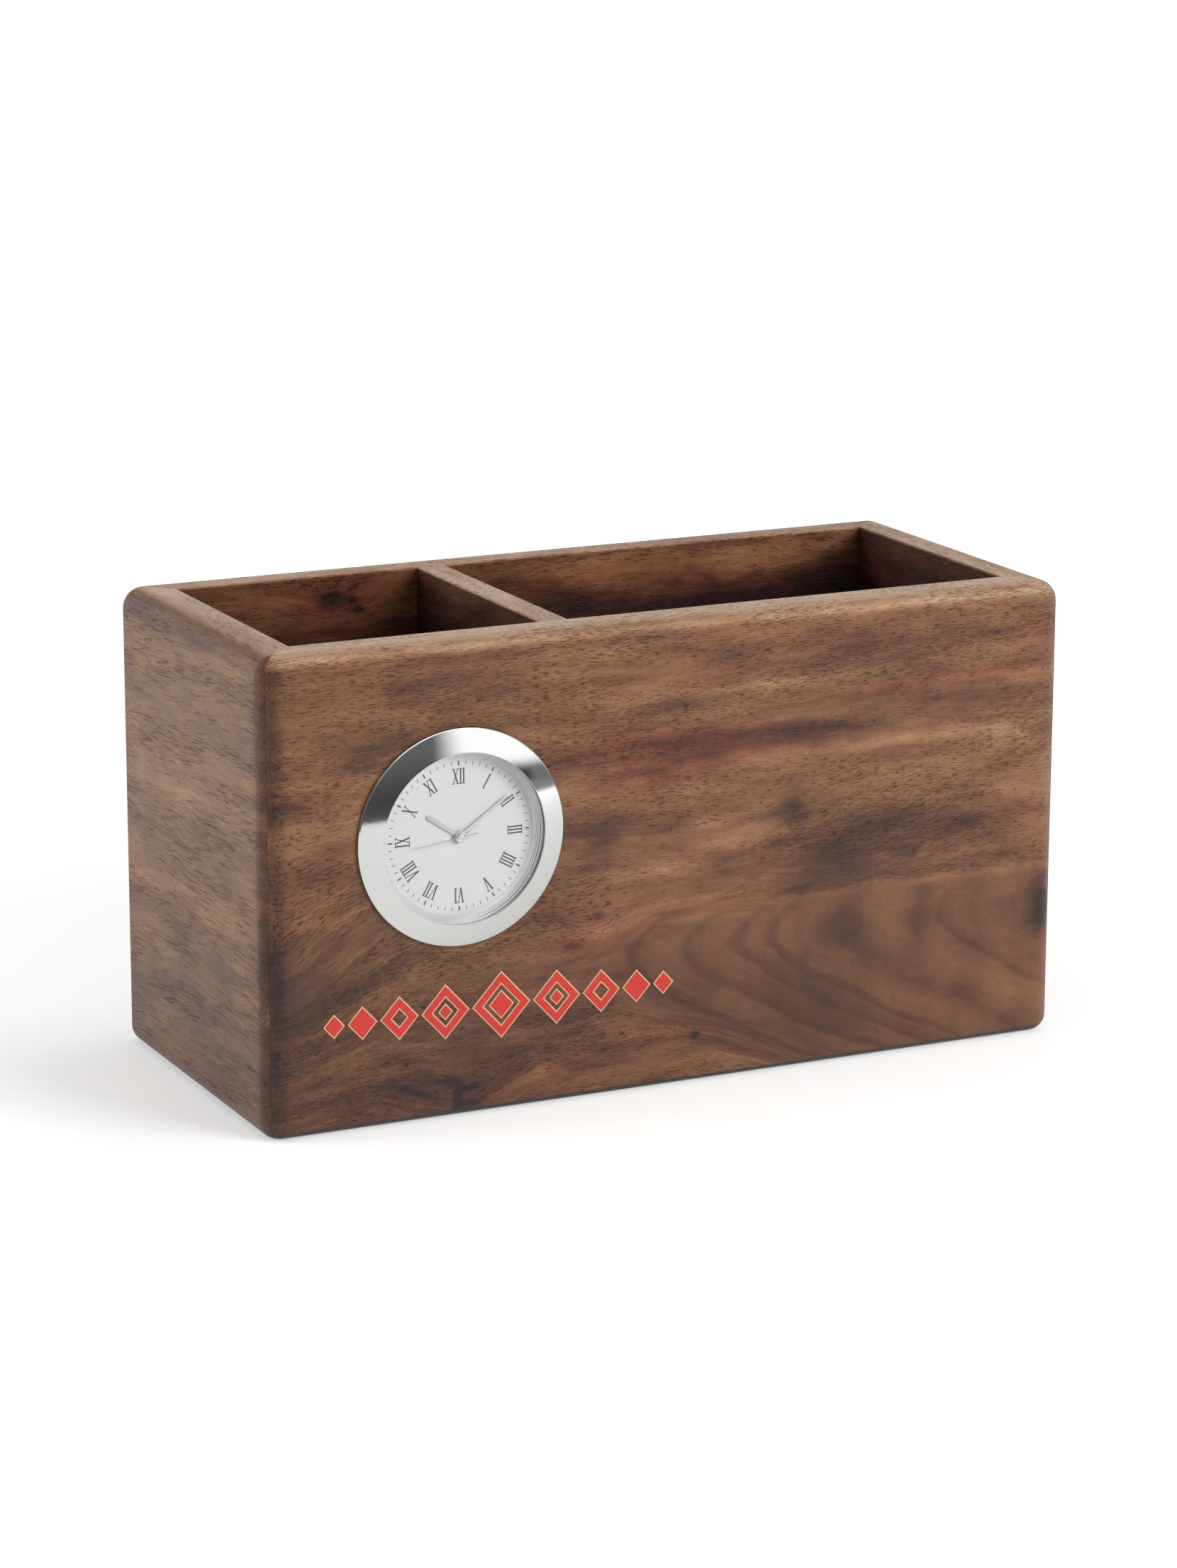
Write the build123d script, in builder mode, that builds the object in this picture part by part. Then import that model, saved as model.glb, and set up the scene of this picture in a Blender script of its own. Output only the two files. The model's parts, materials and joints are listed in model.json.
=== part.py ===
from build123d import *
from math import cos, hypot, radians, sin
import os

os.makedirs("parts", exist_ok=True)

# Pen holder with a clock insert, in mm. X runs along the front from left to right, Y runs from the
# front to the back and Z runs up. The origin is the centre of the underside.

# The wooden box
box_length = 202.0
box_depth = 90.0
box_height = 110.0
wall = 11.0
divider_thickness = 7.0
small_compartment = 60.5
outer_round = 5.0
foot_round = 4.0
rim_round = 0.4
panel_thickness = 6.0
panel_rabbet = 5.0
housing_depth = 3.0
housing_stop = 10.0
glue_gap = 0.05

# The print on the front board: a chain of lozenges, largest in the middle
print_from_left = 56.8
print_height = 25.45
lozenge_half_width = 7.2
lozenge_half_height = 7.85
lozenge_shares = (1.0, 0.82, 0.65, 0.5, 0.36)
framed_steps = 3
kernel_steps = 2
lozenge_gap = 0.65
print_bar = 1.5
print_edge = 0.3
print_space = 0.9
ink_thickness = 0.1

# The clock insert stands on this axis, square to the front board
clock_from_left = 46.9
clock_height = 65.5

# Clearances in the insert
press_gap = 0.02
pivot_gap = 0.05
slide_gap = 0.05
loose_gap = 0.1
part_gap = 0.3
overrun = 1.0

# Case, bezel and window. What is given in units follows the case's radius. A unit is 1 mm here.
case_radius = 21.75
unit_share = 4 / 87
unit = unit_share * case_radius
case_neck_radius = 20.7 * unit
case_neck_wall = 0.75 * unit
case_neck_length = 4.2
floor_thickness = 1.2
bezel_radius = 25.0 * unit
bezel_opening = 19.65 * unit
bezel_rise = 2.6
bezel_rim = 0.85
bezel_edge = 0.2
bezel_lip = 0.6
bezel_seat_gap = 0.05
lens_thickness = 0.95
lens_step = 0.25
lens_face_radius = 18.9 * unit
lens_bevel = 0.5 * unit
reflector_land = 0.25 * unit
lens_gasket_thickness = 0.6
lens_gasket_width = 0.75 * unit
reflector_height = 1.6
dial_opening = 17.85 * unit
dial_thickness = 0.4
grip_thickness = 1.15
grip_skin = 0.45
grip_front = 0.6
grip_length = 9.0
grip_ridges = 4

# Hands, as lengths from the clock's axis. Their angles run clockwise from twelve.
hand_thickness = 0.15
hand_gap = 0.35
hour_hand_length = 9.4 * unit
hour_hand_width = 1.2 * unit
hour_hand_root = 0.9 * unit
minute_hand_length = 14.4 * unit
minute_hand_width = 0.55 * unit
minute_hand_root = 0.75 * unit
second_hand_length = 11.6 * unit
second_hand_tail = 4.0 * unit
second_hand_width = 0.22 * unit
hour_hub_radius = 1.5 * unit
minute_hub_radius = 1.25 * unit
second_cap_radius = 1.1 * unit
second_cap_height = 0.35
shown_minutes = 9.1
shown_hours = 10.0
shown_seconds = 43.8

# Gear teeth. Heights and widths are shares of the module and of the tooth pitch.
tooth_tip_share = 0.8
tooth_root_share = 1.2
tooth_widths_share = (0.24, 0.19, 0.09)
fine_module = 0.2 * unit
motion_module = 0.25 * unit
seconds_teeth = 60
seconds_pinion_teeth = 8
third_teeth = 64
third_pinion_teeth = 8
centre_teeth = 60
intermediate_teeth = 50
intermediate_pinion_teeth = 10
rotor_pinion_teeth = 10
cannon_teeth = 12
minute_wheel_teeth = 36
minute_pinion_teeth = 10
hour_teeth = 40
set_teeth = 12
window_count = 4
window_radius_share = 0.2
window_place_share = 0.6

# Arbors and tubes
arbor_radius = 0.25 * unit
cannon_radius = 0.6 * unit
hour_tube_radius = 1.0 * unit
centre_hub_radius = 0.9 * unit
stud_radius = 0.5 * unit
set_arbor_radius = 0.6 * unit
knob_radius = 3.2 * unit
knob_height = 2.5
knob_grooves = 18
knob_groove_radius = 0.3 * unit

# Layers of the movement, from the dial backwards
motion_gap = 0.4
motion_wheel_thickness = 0.5
pinion_overlap = 0.1
wheel_thickness = 0.4
plate_space = 0.5
train_gap = 0.6
seconds_wheel_lift = 0.8
bridge_space = 1.0
plate_thickness = 1.2
plate_rim_width = 0.95 * unit
bridge_thickness = 1.0
bridge_round = 2.0 * unit
third_angle = 180.0
intermediate_angle = 60.0
rotor_angle = -20.0
motion_angle = -90.0

# Pillars and screws. Places on the face are shares of the case's inner radius.
pillar_place_shares = ((-0.376, 0.476), (0.451, 0.576), (0.175, -0.476))
pillar_radius = 1.2 * unit
case_post_angles = (95.0, 160.0, 300.0)
case_post_circle = 17.6 * unit
case_post_radius = 1.3 * unit
screw_radius = 0.5 * unit
screw_head_radius = 0.95 * unit
screw_head_height = 0.5
screw_slot_width = 0.25 * unit
screw_slot_depth = 0.2
screw_grip = 3.0

# Stepping motor
magnet_radius = 1.8 * unit
magnet_thickness = 1.5
stator_thickness = 0.7
stator_hole_gap = 0.45 * unit
stator_blade_width = 6.0 * unit
stator_arm_width = 2.0 * unit
coil_from_axis = 14.5 * unit
coil_middle = 0.5 * unit
core_length = 15.2 * unit
core_width = 1.6 * unit
core_thickness = 0.7
coil_length = 10.4 * unit
coil_radius = 1.8 * unit

# Circuit board and battery
board_radius = 17.8 * unit
board_edge = 1.0 * unit
board_thickness = 0.8
chip_place_share = (0.125, 0.4)
chip_size = 3.6 * unit
chip_height = 1.0
crystal_place_share = (-0.276, 0.652)
crystal_radius = 0.75 * unit
crystal_length = 5.1 * unit
cell_radius = 5.8 * unit
cell_thickness = 5.4
cell_step = 0.6
cell_cap_radius = 4.9 * unit
cell_from_axis = 12.7 * unit
cell_angle = 215.0
cell_lift = 1.0
cell_fit = 0.15
well_wall = 0.55
door_flange = 1.05 * unit
door_thickness = 0.6
door_slot_length = 8.0 * unit
door_slot_width = 1.1 * unit
door_slot_depth = 0.3
contact_thickness = 0.2
contact_width = 3.0 * unit
contact_length = 7.8 * unit
contact_post_radius = 1.0 * unit
contact_foot = 2.0 * unit

# Places in the box
inner_length = box_length - 2 * wall
inner_depth = box_depth - 2 * wall
divider_x = -inner_length / 2 + small_compartment + divider_thickness / 2
large_compartment = inner_length - small_compartment - divider_thickness
front_y = -box_depth / 2
clock_x = clock_from_left - box_length / 2

# Depths behind the wood's front face, from the front of the insert to its back
lip_back = bezel_lip - bezel_rise
lens_front = lip_back + slide_gap
lens_back = lens_front + lens_thickness
lens_gasket_back = lens_back + lens_gasket_thickness
dial_front = lens_gasket_back + reflector_height
dial_back = dial_front + dial_thickness
hour_hand_back = dial_front - part_gap
minute_hand_back = hour_hand_back - hand_thickness - hand_gap
second_hand_back = minute_hand_back - hand_thickness - hand_gap
hour_wheel_front = dial_back + motion_gap
hour_wheel_back = hour_wheel_front + motion_wheel_thickness
minute_wheel_front = hour_wheel_back + motion_wheel_thickness
minute_wheel_back = minute_wheel_front + motion_wheel_thickness
cannon_back = minute_wheel_back + motion_gap
plate_front = cannon_back + part_gap
plate_back = plate_front + plate_thickness
centre_wheel_front = plate_back + plate_space
centre_wheel_back = centre_wheel_front + wheel_thickness
intermediate_front = centre_wheel_back + train_gap
intermediate_back = intermediate_front + wheel_thickness
third_wheel_front = intermediate_back + plate_space
third_wheel_back = third_wheel_front + wheel_thickness
seconds_wheel_front = third_wheel_back + seconds_wheel_lift
seconds_wheel_back = seconds_wheel_front + wheel_thickness
bridge_front = seconds_wheel_back + bridge_space
bridge_back = bridge_front + bridge_thickness
stator_front = third_wheel_back
stator_back = stator_front + stator_thickness
core_back = stator_back + core_thickness
magnet_front = (stator_front + stator_back - magnet_thickness) / 2
magnet_back = magnet_front + magnet_thickness
board_back = bridge_back + board_thickness
cell_front = third_wheel_back + cell_lift
cell_back = cell_front + cell_thickness
crystal_back = board_back + 2 * crystal_radius
case_back = max(cell_back + door_thickness + cell_fit, crystal_back + part_gap + floor_thickness)
case_floor = case_back - floor_thickness
door_front = case_back - door_thickness
knob_front = case_back + part_gap
case_inner_radius = case_neck_radius - case_neck_wall
insert_bore_radius = case_radius + grip_thickness + 2 * slide_gap

# Places on the clock's face, as right and up from the axis


def polar(distance, angle, start=(0, 0)):
    """Place at a distance and an angle, counted from the right towards the top."""
    return (start[0] + distance * cos(radians(angle)), start[1] + distance * sin(radians(angle)))


def on_face(place_share):
    """Place given as shares of the case's inner radius."""
    return (place_share[0] * case_inner_radius, place_share[1] * case_inner_radius)


clock_middle = (0, 0)
third_distance = fine_module * (centre_teeth + third_pinion_teeth) / 2
third_module = 2 * third_distance / (third_teeth + seconds_pinion_teeth)
third_place = polar(third_distance, third_angle)
intermediate_distance = fine_module * (seconds_teeth + intermediate_pinion_teeth) / 2
intermediate_place = polar(intermediate_distance, intermediate_angle)
rotor_distance = fine_module * (intermediate_teeth + rotor_pinion_teeth) / 2
rotor_place = polar(rotor_distance, rotor_angle, intermediate_place)
minute_distance = motion_module * (cannon_teeth + minute_wheel_teeth) / 2
hour_module = 2 * minute_distance / (hour_teeth + minute_pinion_teeth)
minute_place = polar(minute_distance, motion_angle)
set_distance = motion_module * (minute_wheel_teeth + set_teeth) / 2
set_place = polar(set_distance, motion_angle, minute_place)
cell_place = polar(cell_from_axis, cell_angle)
pillar_places = [on_face(place_share) for place_share in pillar_place_shares]
case_post_places = [polar(case_post_circle, angle) for angle in case_post_angles]
coil_arm_reach = (core_length - stator_arm_width) / 2
coil_end_places = [(coil_from_axis, coil_middle + side * coil_arm_reach) for side in (-1, 1)]

face_centre = (clock_x, front_y, clock_height)
face_plane = Plane(origin=face_centre, x_dir=(1, 0, 0), z_dir=(0, -1, 0))
turning_plane = Plane(origin=face_centre, x_dir=(1, 0, 0), z_dir=(0, 0, 1))
clock_axis = Axis(face_centre, (0, 1, 0))


def depth_plane(depth):
    """Plane that faces the viewer, at a depth behind the wood's front face."""
    return face_plane.offset(-depth)


def slab(sketch, front, back, mode=Mode.ADD):
    """Makes a sketch that lies at the back depth as thick as the way to the front depth."""
    extrude(sketch, amount=back - front, mode=mode)


def disc(radius, front, back, places=(clock_middle,), mode=Mode.ADD):
    """Round discs, posts or holes between two depths."""
    with BuildSketch(depth_plane(back)) as outline:
        with Locations(*places):
            Circle(radius)
    slab(outline.sketch, front, back, mode)


def block(width, height, front, back, place=clock_middle, turn=0.0, mode=Mode.ADD):
    """Box between two depths, turned about the clock's axis direction."""
    with BuildSketch(depth_plane(back)) as outline:
        with Locations(Location((*place, 0), (0, 0, turn))):
            Rectangle(width, height)
    slab(outline.sketch, front, back, mode)


def turned(section_points, mode=Mode.ADD):
    """Ring turned about the clock's axis from corners given as radius and depth."""
    with BuildSketch(turning_plane) as section:
        with BuildLine():
            Polyline(*section_points, close=True)
        make_face()
    revolve(section.sketch, axis=clock_axis, mode=mode)


def tooth_points(teeth, module, turn):
    """Corners of a toothed outline. Each tooth narrows from its root to its pitch line and its tip."""
    pitch_radius = teeth * module / 2
    root_radius = pitch_radius - tooth_root_share * module
    tip_radius = pitch_radius + tooth_tip_share * module
    root_width, pitch_width, tip_width = tooth_widths_share
    flank = ((root_radius, root_width), (pitch_radius, pitch_width), (tip_radius, tip_width))
    both_flanks = [(radius, -width) for radius, width in flank]
    both_flanks += [(radius, width) for radius, width in reversed(flank)]
    pitch = 360 / teeth
    return [
        polar(radius, turn + (tooth + width) * pitch)
        for tooth in range(teeth)
        for radius, width in both_flanks
    ]


def gear(teeth, module, front, back, place=clock_middle, turn=0.0):
    """Toothed wheel or pinion between two depths."""
    with BuildSketch(depth_plane(back)) as outline:
        with Locations(place):
            Polygon(*tooth_points(teeth, module, turn), align=None)
    slab(outline.sketch, front, back)


def windows(teeth, module, front, back, place=clock_middle):
    """Round openings that lighten a wheel."""
    pitch_radius = teeth * module / 2
    from_axis = window_place_share * pitch_radius
    openings = [polar(from_axis, 360 * k / window_count, place) for k in range(window_count)]
    disc(window_radius_share * pitch_radius, front, back, openings, Mode.SUBTRACT)


def mesh_turn(turn, teeth, next_teeth, line_angle):
    """Turn that puts a wheel in mesh with the one before it, along the line between their axes."""
    share = ((line_angle - turn) * teeth / 360) % 1
    return line_angle + 180 + (share + 0.5) * 360 / next_teeth


def screws(places, seat, reach):
    """Slotted screws. Each head stands on its seat, and its shank reaches into what it holds."""
    toward = 1 if reach > seat else -1
    head = seat - toward * screw_head_height
    slot = head + toward * screw_slot_depth
    disc(screw_radius, min(seat, reach), max(seat, reach), places)
    disc(screw_head_radius, min(head, seat), max(head, seat), places)
    for place in places:
        slot_front, slot_back = min(head, slot), max(head, slot)
        block(2 * screw_head_radius, screw_slot_width, slot_front, slot_back, place, mode=Mode.SUBTRACT)


# The whole wooden case as one blank. The boards and the divider are cut from it, so that their
# roundings run on from one to the next.
with BuildPart() as case_blank:
    with BuildSketch():
        Rectangle(box_length, box_depth)
    extrude(amount=box_height)
    upright_edges = case_blank.edges().filter_by(Axis.Z)
    top_edges = case_blank.edges().group_by(Axis.Z)[-1]
    fillet(upright_edges + top_edges, outer_round)
    fillet(case_blank.edges().group_by(Axis.Z)[0], foot_round)
    small_x = -inner_length / 2 + small_compartment / 2
    large_x = inner_length / 2 - large_compartment / 2
    for middle, length in ((small_x, small_compartment), (large_x, large_compartment)):
        with BuildSketch():
            with Locations((middle, 0)):
                Rectangle(length, inner_depth)
        extrude(amount=box_height, mode=Mode.SUBTRACT)
    flat_rim = case_blank.edges().group_by(Axis.Z)[-1]
    between_ends = flat_rim.filter_by_position(Axis.X, -inner_length / 2, inner_length / 2)
    compartment_rims = between_ends.filter_by_position(Axis.Y, -inner_depth / 2, inner_depth / 2)
    fillet(compartment_rims, rim_round)
    with BuildSketch():
        Rectangle(inner_length + 2 * panel_rabbet, inner_depth + 2 * panel_rabbet)
    extrude(amount=panel_thickness, mode=Mode.SUBTRACT)

tenon_height = box_height - panel_thickness - housing_stop


def board_between(outer_start, outer_end, inner_end, inner_start):
    """Keeps the stretch of the blank that stands over a mitred outline."""
    add(case_blank.part)
    with BuildSketch() as outline:
        Polygon(outer_start, outer_end, inner_end, inner_start, align=None)
    extrude(outline.sketch, amount=box_height, mode=Mode.INTERSECT)


def cut_housings():
    """Cuts the stopped grooves for the divider out of the front and back boards."""
    slot_width = divider_thickness + 2 * glue_gap
    slot_length = inner_depth + 2 * (housing_depth + glue_gap)
    with BuildSketch(Plane.XY.offset(panel_thickness)) as slot:
        with Locations((divider_x, 0)):
            Rectangle(slot_width, slot_length)
    extrude(slot.sketch, amount=tenon_height + glue_gap, mode=Mode.SUBTRACT)


half_length = box_length / 2
half_depth = box_depth / 2
half_inner_length = inner_length / 2
half_inner_depth = inner_depth / 2

with BuildPart() as front_board:
    board_between(
        (-half_length, -half_depth),
        (half_length, -half_depth),
        (half_inner_length, -half_inner_depth),
        (-half_inner_length, -half_inner_depth),
    )
    cut_housings()
    disc(insert_bore_radius, -overrun, wall + overrun, mode=Mode.SUBTRACT)

with BuildPart() as back_board:
    board_between(
        (half_length, half_depth),
        (-half_length, half_depth),
        (-half_inner_length, half_inner_depth),
        (half_inner_length, half_inner_depth),
    )
    cut_housings()

with BuildPart() as left_board:
    board_between(
        (-half_length, half_depth),
        (-half_length, -half_depth),
        (-half_inner_length, -half_inner_depth),
        (-half_inner_length, half_inner_depth),
    )

with BuildPart() as right_board:
    board_between(
        (half_length, -half_depth),
        (half_length, half_depth),
        (half_inner_length, half_inner_depth),
        (half_inner_length, -half_inner_depth),
    )

with BuildPart() as divider:
    board_between(
        (-half_inner_length, -half_inner_depth),
        (half_inner_length, -half_inner_depth),
        (half_inner_length, half_inner_depth),
        (-half_inner_length, half_inner_depth),
    )
    with BuildSketch(Plane.XY.offset(panel_thickness)):
        with Locations((divider_x, 0)):
            Rectangle(divider_thickness, inner_depth + 2 * housing_depth)
    extrude(amount=tenon_height)

with BuildPart() as bottom_panel:
    with BuildSketch():
        panel_fit = 2 * (panel_rabbet - glue_gap)
        Rectangle(inner_length + panel_fit, inner_depth + panel_fit)
    extrude(amount=panel_thickness)


# The print is a cream layer on the wood with a red layer on it. The cream shows as an edge.
def lozenge(middle, share, inset, mode=Mode.ADD):
    """Diamond whose four sides are moved in from its outline by an inset."""
    half_width = share * lozenge_half_width
    half_height = share * lozenge_half_height
    side_distance = half_width * half_height / hypot(half_width, half_height)
    if inset >= side_distance:
        return
    scale = (side_distance - inset) / side_distance
    right = scale * half_width
    top = scale * half_height
    with Locations((middle, 0)):
        Polygon((right, 0), (0, top), (-right, 0), (0, -top), align=None, mode=mode)


def lozenge_chain(inset):
    """All lozenges of one ink layer. The large ones are open frames, the two largest with a kernel."""
    band = print_bar + 2 * print_edge
    kernel_start = band + print_space
    middle = 0.0
    for step, share in enumerate(lozenge_shares):
        if step:
            shared_width = (lozenge_shares[step - 1] + share) * lozenge_half_width
            middle += shared_width + lozenge_gap
        for place in sorted({-middle, middle}):
            lozenge(place, share, inset)
            if step < framed_steps:
                lozenge(place, share, band - inset, Mode.SUBTRACT)
            if step < kernel_steps:
                lozenge(place, share, kernel_start + inset)


print_plane = Plane(
    origin=(print_from_left - box_length / 2, front_y, print_height), x_dir=(1, 0, 0), z_dir=(0, -1, 0)
)

with BuildPart() as decal_outline:
    with BuildSketch(print_plane):
        lozenge_chain(0.0)
    extrude(amount=ink_thickness)

with BuildPart() as decal_fill:
    with BuildSketch(print_plane.offset(ink_thickness)):
        lozenge_chain(print_edge)
    extrude(amount=ink_thickness)

# Bezel: a polished cone that rises to the window, on a skirt around the neck of the case
case_neck_front = lens_gasket_back
lens_seat_radius = case_neck_radius - part_gap
with BuildPart() as bezel:
    turned(
        (
            (bezel_opening, -bezel_rise),
            (bezel_radius - bezel_edge, -bezel_rim - bezel_edge / 2),
            (bezel_radius, -bezel_rim + bezel_edge / 2),
            (bezel_radius, -bezel_seat_gap),
            (case_radius, -bezel_seat_gap),
            (case_radius, case_neck_length - slide_gap),
            (case_neck_radius + press_gap, case_neck_length - slide_gap),
            (case_neck_radius + press_gap, case_neck_front),
            (lens_seat_radius, case_neck_front),
            (lens_seat_radius, lip_back),
            (bezel_opening, lip_back),
        )
    )

with BuildPart() as lens:
    lens_rim_radius = lens_seat_radius - loose_gap
    turned(
        (
            (0, lens_front - lens_step),
            (lens_face_radius, lens_front - lens_step),
            (lens_face_radius + lens_bevel, lens_front),
            (lens_rim_radius, lens_front),
            (lens_rim_radius, lens_back),
            (0, lens_back),
        )
    )

with BuildPart() as lens_gasket:
    disc(lens_seat_radius - slide_gap, lens_back, lens_gasket_back)
    disc(lens_seat_radius - lens_gasket_width, lens_back, lens_gasket_back, mode=Mode.SUBTRACT)

reflector_radius = case_inner_radius - loose_gap
with BuildPart() as reflector_ring:
    turned(
        (
            (reflector_radius - reflector_land, lens_gasket_back),
            (reflector_radius, lens_gasket_back),
            (reflector_radius, dial_front),
            (dial_opening, dial_front),
        )
    )

with BuildPart() as dial:
    disc(reflector_radius, dial_front, dial_back)
    disc(hour_tube_radius + loose_gap, dial_front, dial_back, mode=Mode.SUBTRACT)

# Case: a cup that is open to the dial, with screw posts and a well for the button cell
well_front = seconds_wheel_back + contact_thickness
well_radius = cell_radius + cell_fit
well_outer_radius = well_radius + well_wall
cell_x, cell_y = cell_place
contact_window = contact_width + 2 * contact_thickness
window_place = (cell_x, cell_y + well_outer_radius)
post_hole_back = plate_back + screw_grip + part_gap
with BuildPart() as case:
    disc(case_neck_radius, case_neck_front, case_neck_length)
    disc(case_radius, case_neck_length, case_back)
    disc(case_inner_radius, case_neck_front, case_floor, mode=Mode.SUBTRACT)
    disc(case_post_radius, plate_back, case_floor, case_post_places)
    disc(screw_radius + pivot_gap, plate_back, post_hole_back, case_post_places, Mode.SUBTRACT)
    disc(well_outer_radius, well_front, case_floor, (cell_place,))
    disc(well_radius, well_front, case_back, (cell_place,), Mode.SUBTRACT)
    disc(well_radius + door_flange, door_front, case_back, (cell_place,), Mode.SUBTRACT)
    disc(set_arbor_radius + loose_gap, case_floor, case_back, (set_place,), Mode.SUBTRACT)
    window_back = board_back + part_gap
    window_height = 2 * well_wall + overrun
    block(contact_window, window_height, well_front, window_back, window_place, mode=Mode.SUBTRACT)

# Rubber ring with ridges that grips the bore in the wood
with BuildPart() as grip_ring:
    grip_back = grip_front + grip_length
    disc(case_radius + slide_gap + grip_skin, grip_front, grip_back)
    ridge_pitch = grip_length / grip_ridges
    for ridge in range(grip_ridges):
        ridge_front = grip_front + ridge * ridge_pitch
        disc(case_radius + slide_gap + grip_thickness, ridge_front, ridge_front + ridge_pitch / 2)
    disc(case_radius + slide_gap, grip_front, grip_back, mode=Mode.SUBTRACT)

# Main plate: carries the dial on its rim, the pillars of the bridge, the motor and one battery contact
plate_radius = case_inner_radius - loose_gap
negative_back = cell_front - loose_gap
negative_front = negative_back - contact_thickness
contact_post_place = polar(cell_from_axis + contact_length - contact_width, cell_angle)
pivot_places = (clock_middle, third_place, intermediate_place, rotor_place)
with BuildPart() as main_plate:
    disc(plate_radius, dial_back, plate_back)
    disc(plate_radius - plate_rim_width, dial_back, plate_front, mode=Mode.SUBTRACT)
    disc(stud_radius, dial_back + part_gap, plate_front, (minute_place,))
    disc(pillar_radius, plate_back, bridge_front, pillar_places)
    disc(contact_post_radius, plate_back, stator_front, coil_end_places)
    disc(contact_post_radius, plate_back, negative_front, (contact_post_place,))
    disc(arbor_radius + pivot_gap, plate_front, plate_back, pivot_places, Mode.SUBTRACT)
    disc(centre_hub_radius + pivot_gap, plate_front, plate_back, mode=Mode.SUBTRACT)
    disc(set_arbor_radius + pivot_gap, plate_front, plate_back, (set_place,), Mode.SUBTRACT)
    disc(screw_radius + pivot_gap, plate_front, plate_back, case_post_places, Mode.SUBTRACT)
    pillar_hole_front = bridge_front - screw_grip - part_gap
    disc(screw_radius + pivot_gap, pillar_hole_front, bridge_front, pillar_places, Mode.SUBTRACT)
    coil_hole_front = stator_front - screw_grip / 2 - part_gap
    disc(screw_radius + pivot_gap, coil_hole_front, stator_front, coil_end_places, Mode.SUBTRACT)

with BuildPart() as train_bridge:
    with BuildSketch(depth_plane(bridge_back)):
        with Locations(third_place, rotor_place, *pillar_places):
            Circle(bridge_round)
        make_hull()
        with Locations(cell_place):
            Circle(well_outer_radius + part_gap, mode=Mode.SUBTRACT)
    extrude(amount=bridge_thickness)
    disc(arbor_radius + pivot_gap, bridge_front, bridge_back, pivot_places, Mode.SUBTRACT)
    disc(screw_radius + pivot_gap, bridge_front, bridge_back, pillar_places, Mode.SUBTRACT)

with BuildPart() as plate_screws:
    screws(case_post_places, plate_front, plate_back + screw_grip)

with BuildPart() as bridge_screws:
    screws(pillar_places, bridge_back, bridge_front - screw_grip)

with BuildPart() as coil_screws:
    screws(coil_end_places, core_back, stator_front - screw_grip / 2)

# Stepping motor: the stator holds the rotor's magnet in its hole and meets the coil's core at its arms
rotor_x = rotor_place[0]
arm_length = coil_from_axis + stator_arm_width / 2 - rotor_x
with BuildPart() as stator:
    block(stator_blade_width, core_length, stator_front, stator_back, (rotor_x, coil_middle))
    for end_place in coil_end_places:
        arm_place = (rotor_x + arm_length / 2, end_place[1])
        block(arm_length, stator_arm_width, stator_front, stator_back, arm_place)
    disc(magnet_radius + stator_hole_gap, stator_front, stator_back, (rotor_place,), Mode.SUBTRACT)
    disc(screw_radius + pivot_gap, stator_front, stator_back, coil_end_places, Mode.SUBTRACT)

coil_place = (coil_from_axis, coil_middle)
with BuildPart() as coil_core:
    block(core_width, core_length, stator_back, core_back, coil_place)
    for end_place in coil_end_places:
        block(stator_arm_width, stator_arm_width, stator_back, core_back, end_place)
    disc(screw_radius + pivot_gap, stator_back, core_back, coil_end_places, Mode.SUBTRACT)

core_middle = stator_back + core_thickness / 2
coil_plane = Plane(
    origin=(clock_x + coil_from_axis, front_y + core_middle, clock_height + coil_middle - coil_length / 2),
    z_dir=(0, 0, 1),
)
with BuildPart() as coil_winding:
    with BuildSketch(coil_plane):
        Circle(coil_radius)
        Circle(hypot(core_width, core_thickness) / 2 + pivot_gap, mode=Mode.SUBTRACT)
    extrude(amount=coil_length)

# Circuit board on the back of the bridge
board_hole_radius = screw_head_radius + part_gap
with BuildPart() as circuit_board:
    disc(board_radius, bridge_back, board_back)
    lower_side = (0, board_edge - board_radius)
    block(2 * board_radius, 2 * board_radius, bridge_back, board_back, lower_side, mode=Mode.SUBTRACT)
    disc(board_hole_radius, bridge_back, board_back, pillar_places, Mode.SUBTRACT)
    disc(case_post_radius + part_gap, bridge_back, board_back, case_post_places, Mode.SUBTRACT)

chip_back = board_back + chip_height
with BuildPart() as driver_chip:
    block(chip_size, chip_size, board_back, chip_back, on_face(chip_place_share))

crystal_x, crystal_y = on_face(crystal_place_share)
crystal_depth = board_back + crystal_radius
crystal_plane = Plane(
    origin=(clock_x + crystal_x - crystal_length / 2, front_y + crystal_depth, clock_height + crystal_y),
    z_dir=(1, 0, 0),
)
with BuildPart() as quartz_crystal:
    with BuildSketch(crystal_plane):
        Circle(crystal_radius)
    extrude(amount=crystal_length)

# Battery contacts: a leaf at the side of the cell with a foot on the board, and a strip under it
leaf_y = cell_y + cell_radius + loose_gap + contact_thickness / 2
foot_height = board_edge + contact_foot - leaf_y + contact_thickness / 2
with BuildPart() as positive_contact:
    foot_back = board_back + contact_thickness
    block(contact_width, contact_thickness, well_front + part_gap, foot_back, (cell_x, leaf_y))
    foot_place = (cell_x, leaf_y - contact_thickness / 2 + foot_height / 2)
    block(contact_width, foot_height, board_back, foot_back, foot_place)

with BuildPart() as negative_contact:
    strip_place = polar(cell_from_axis + contact_length / 2 - contact_width / 2, cell_angle)
    block(contact_length, contact_width, negative_front, negative_back, strip_place, cell_angle)

with BuildPart() as button_cell:
    disc(cell_cap_radius, cell_front, cell_front + cell_step, (cell_place,))
    disc(cell_radius, cell_front + cell_step, cell_back, (cell_place,))

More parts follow.
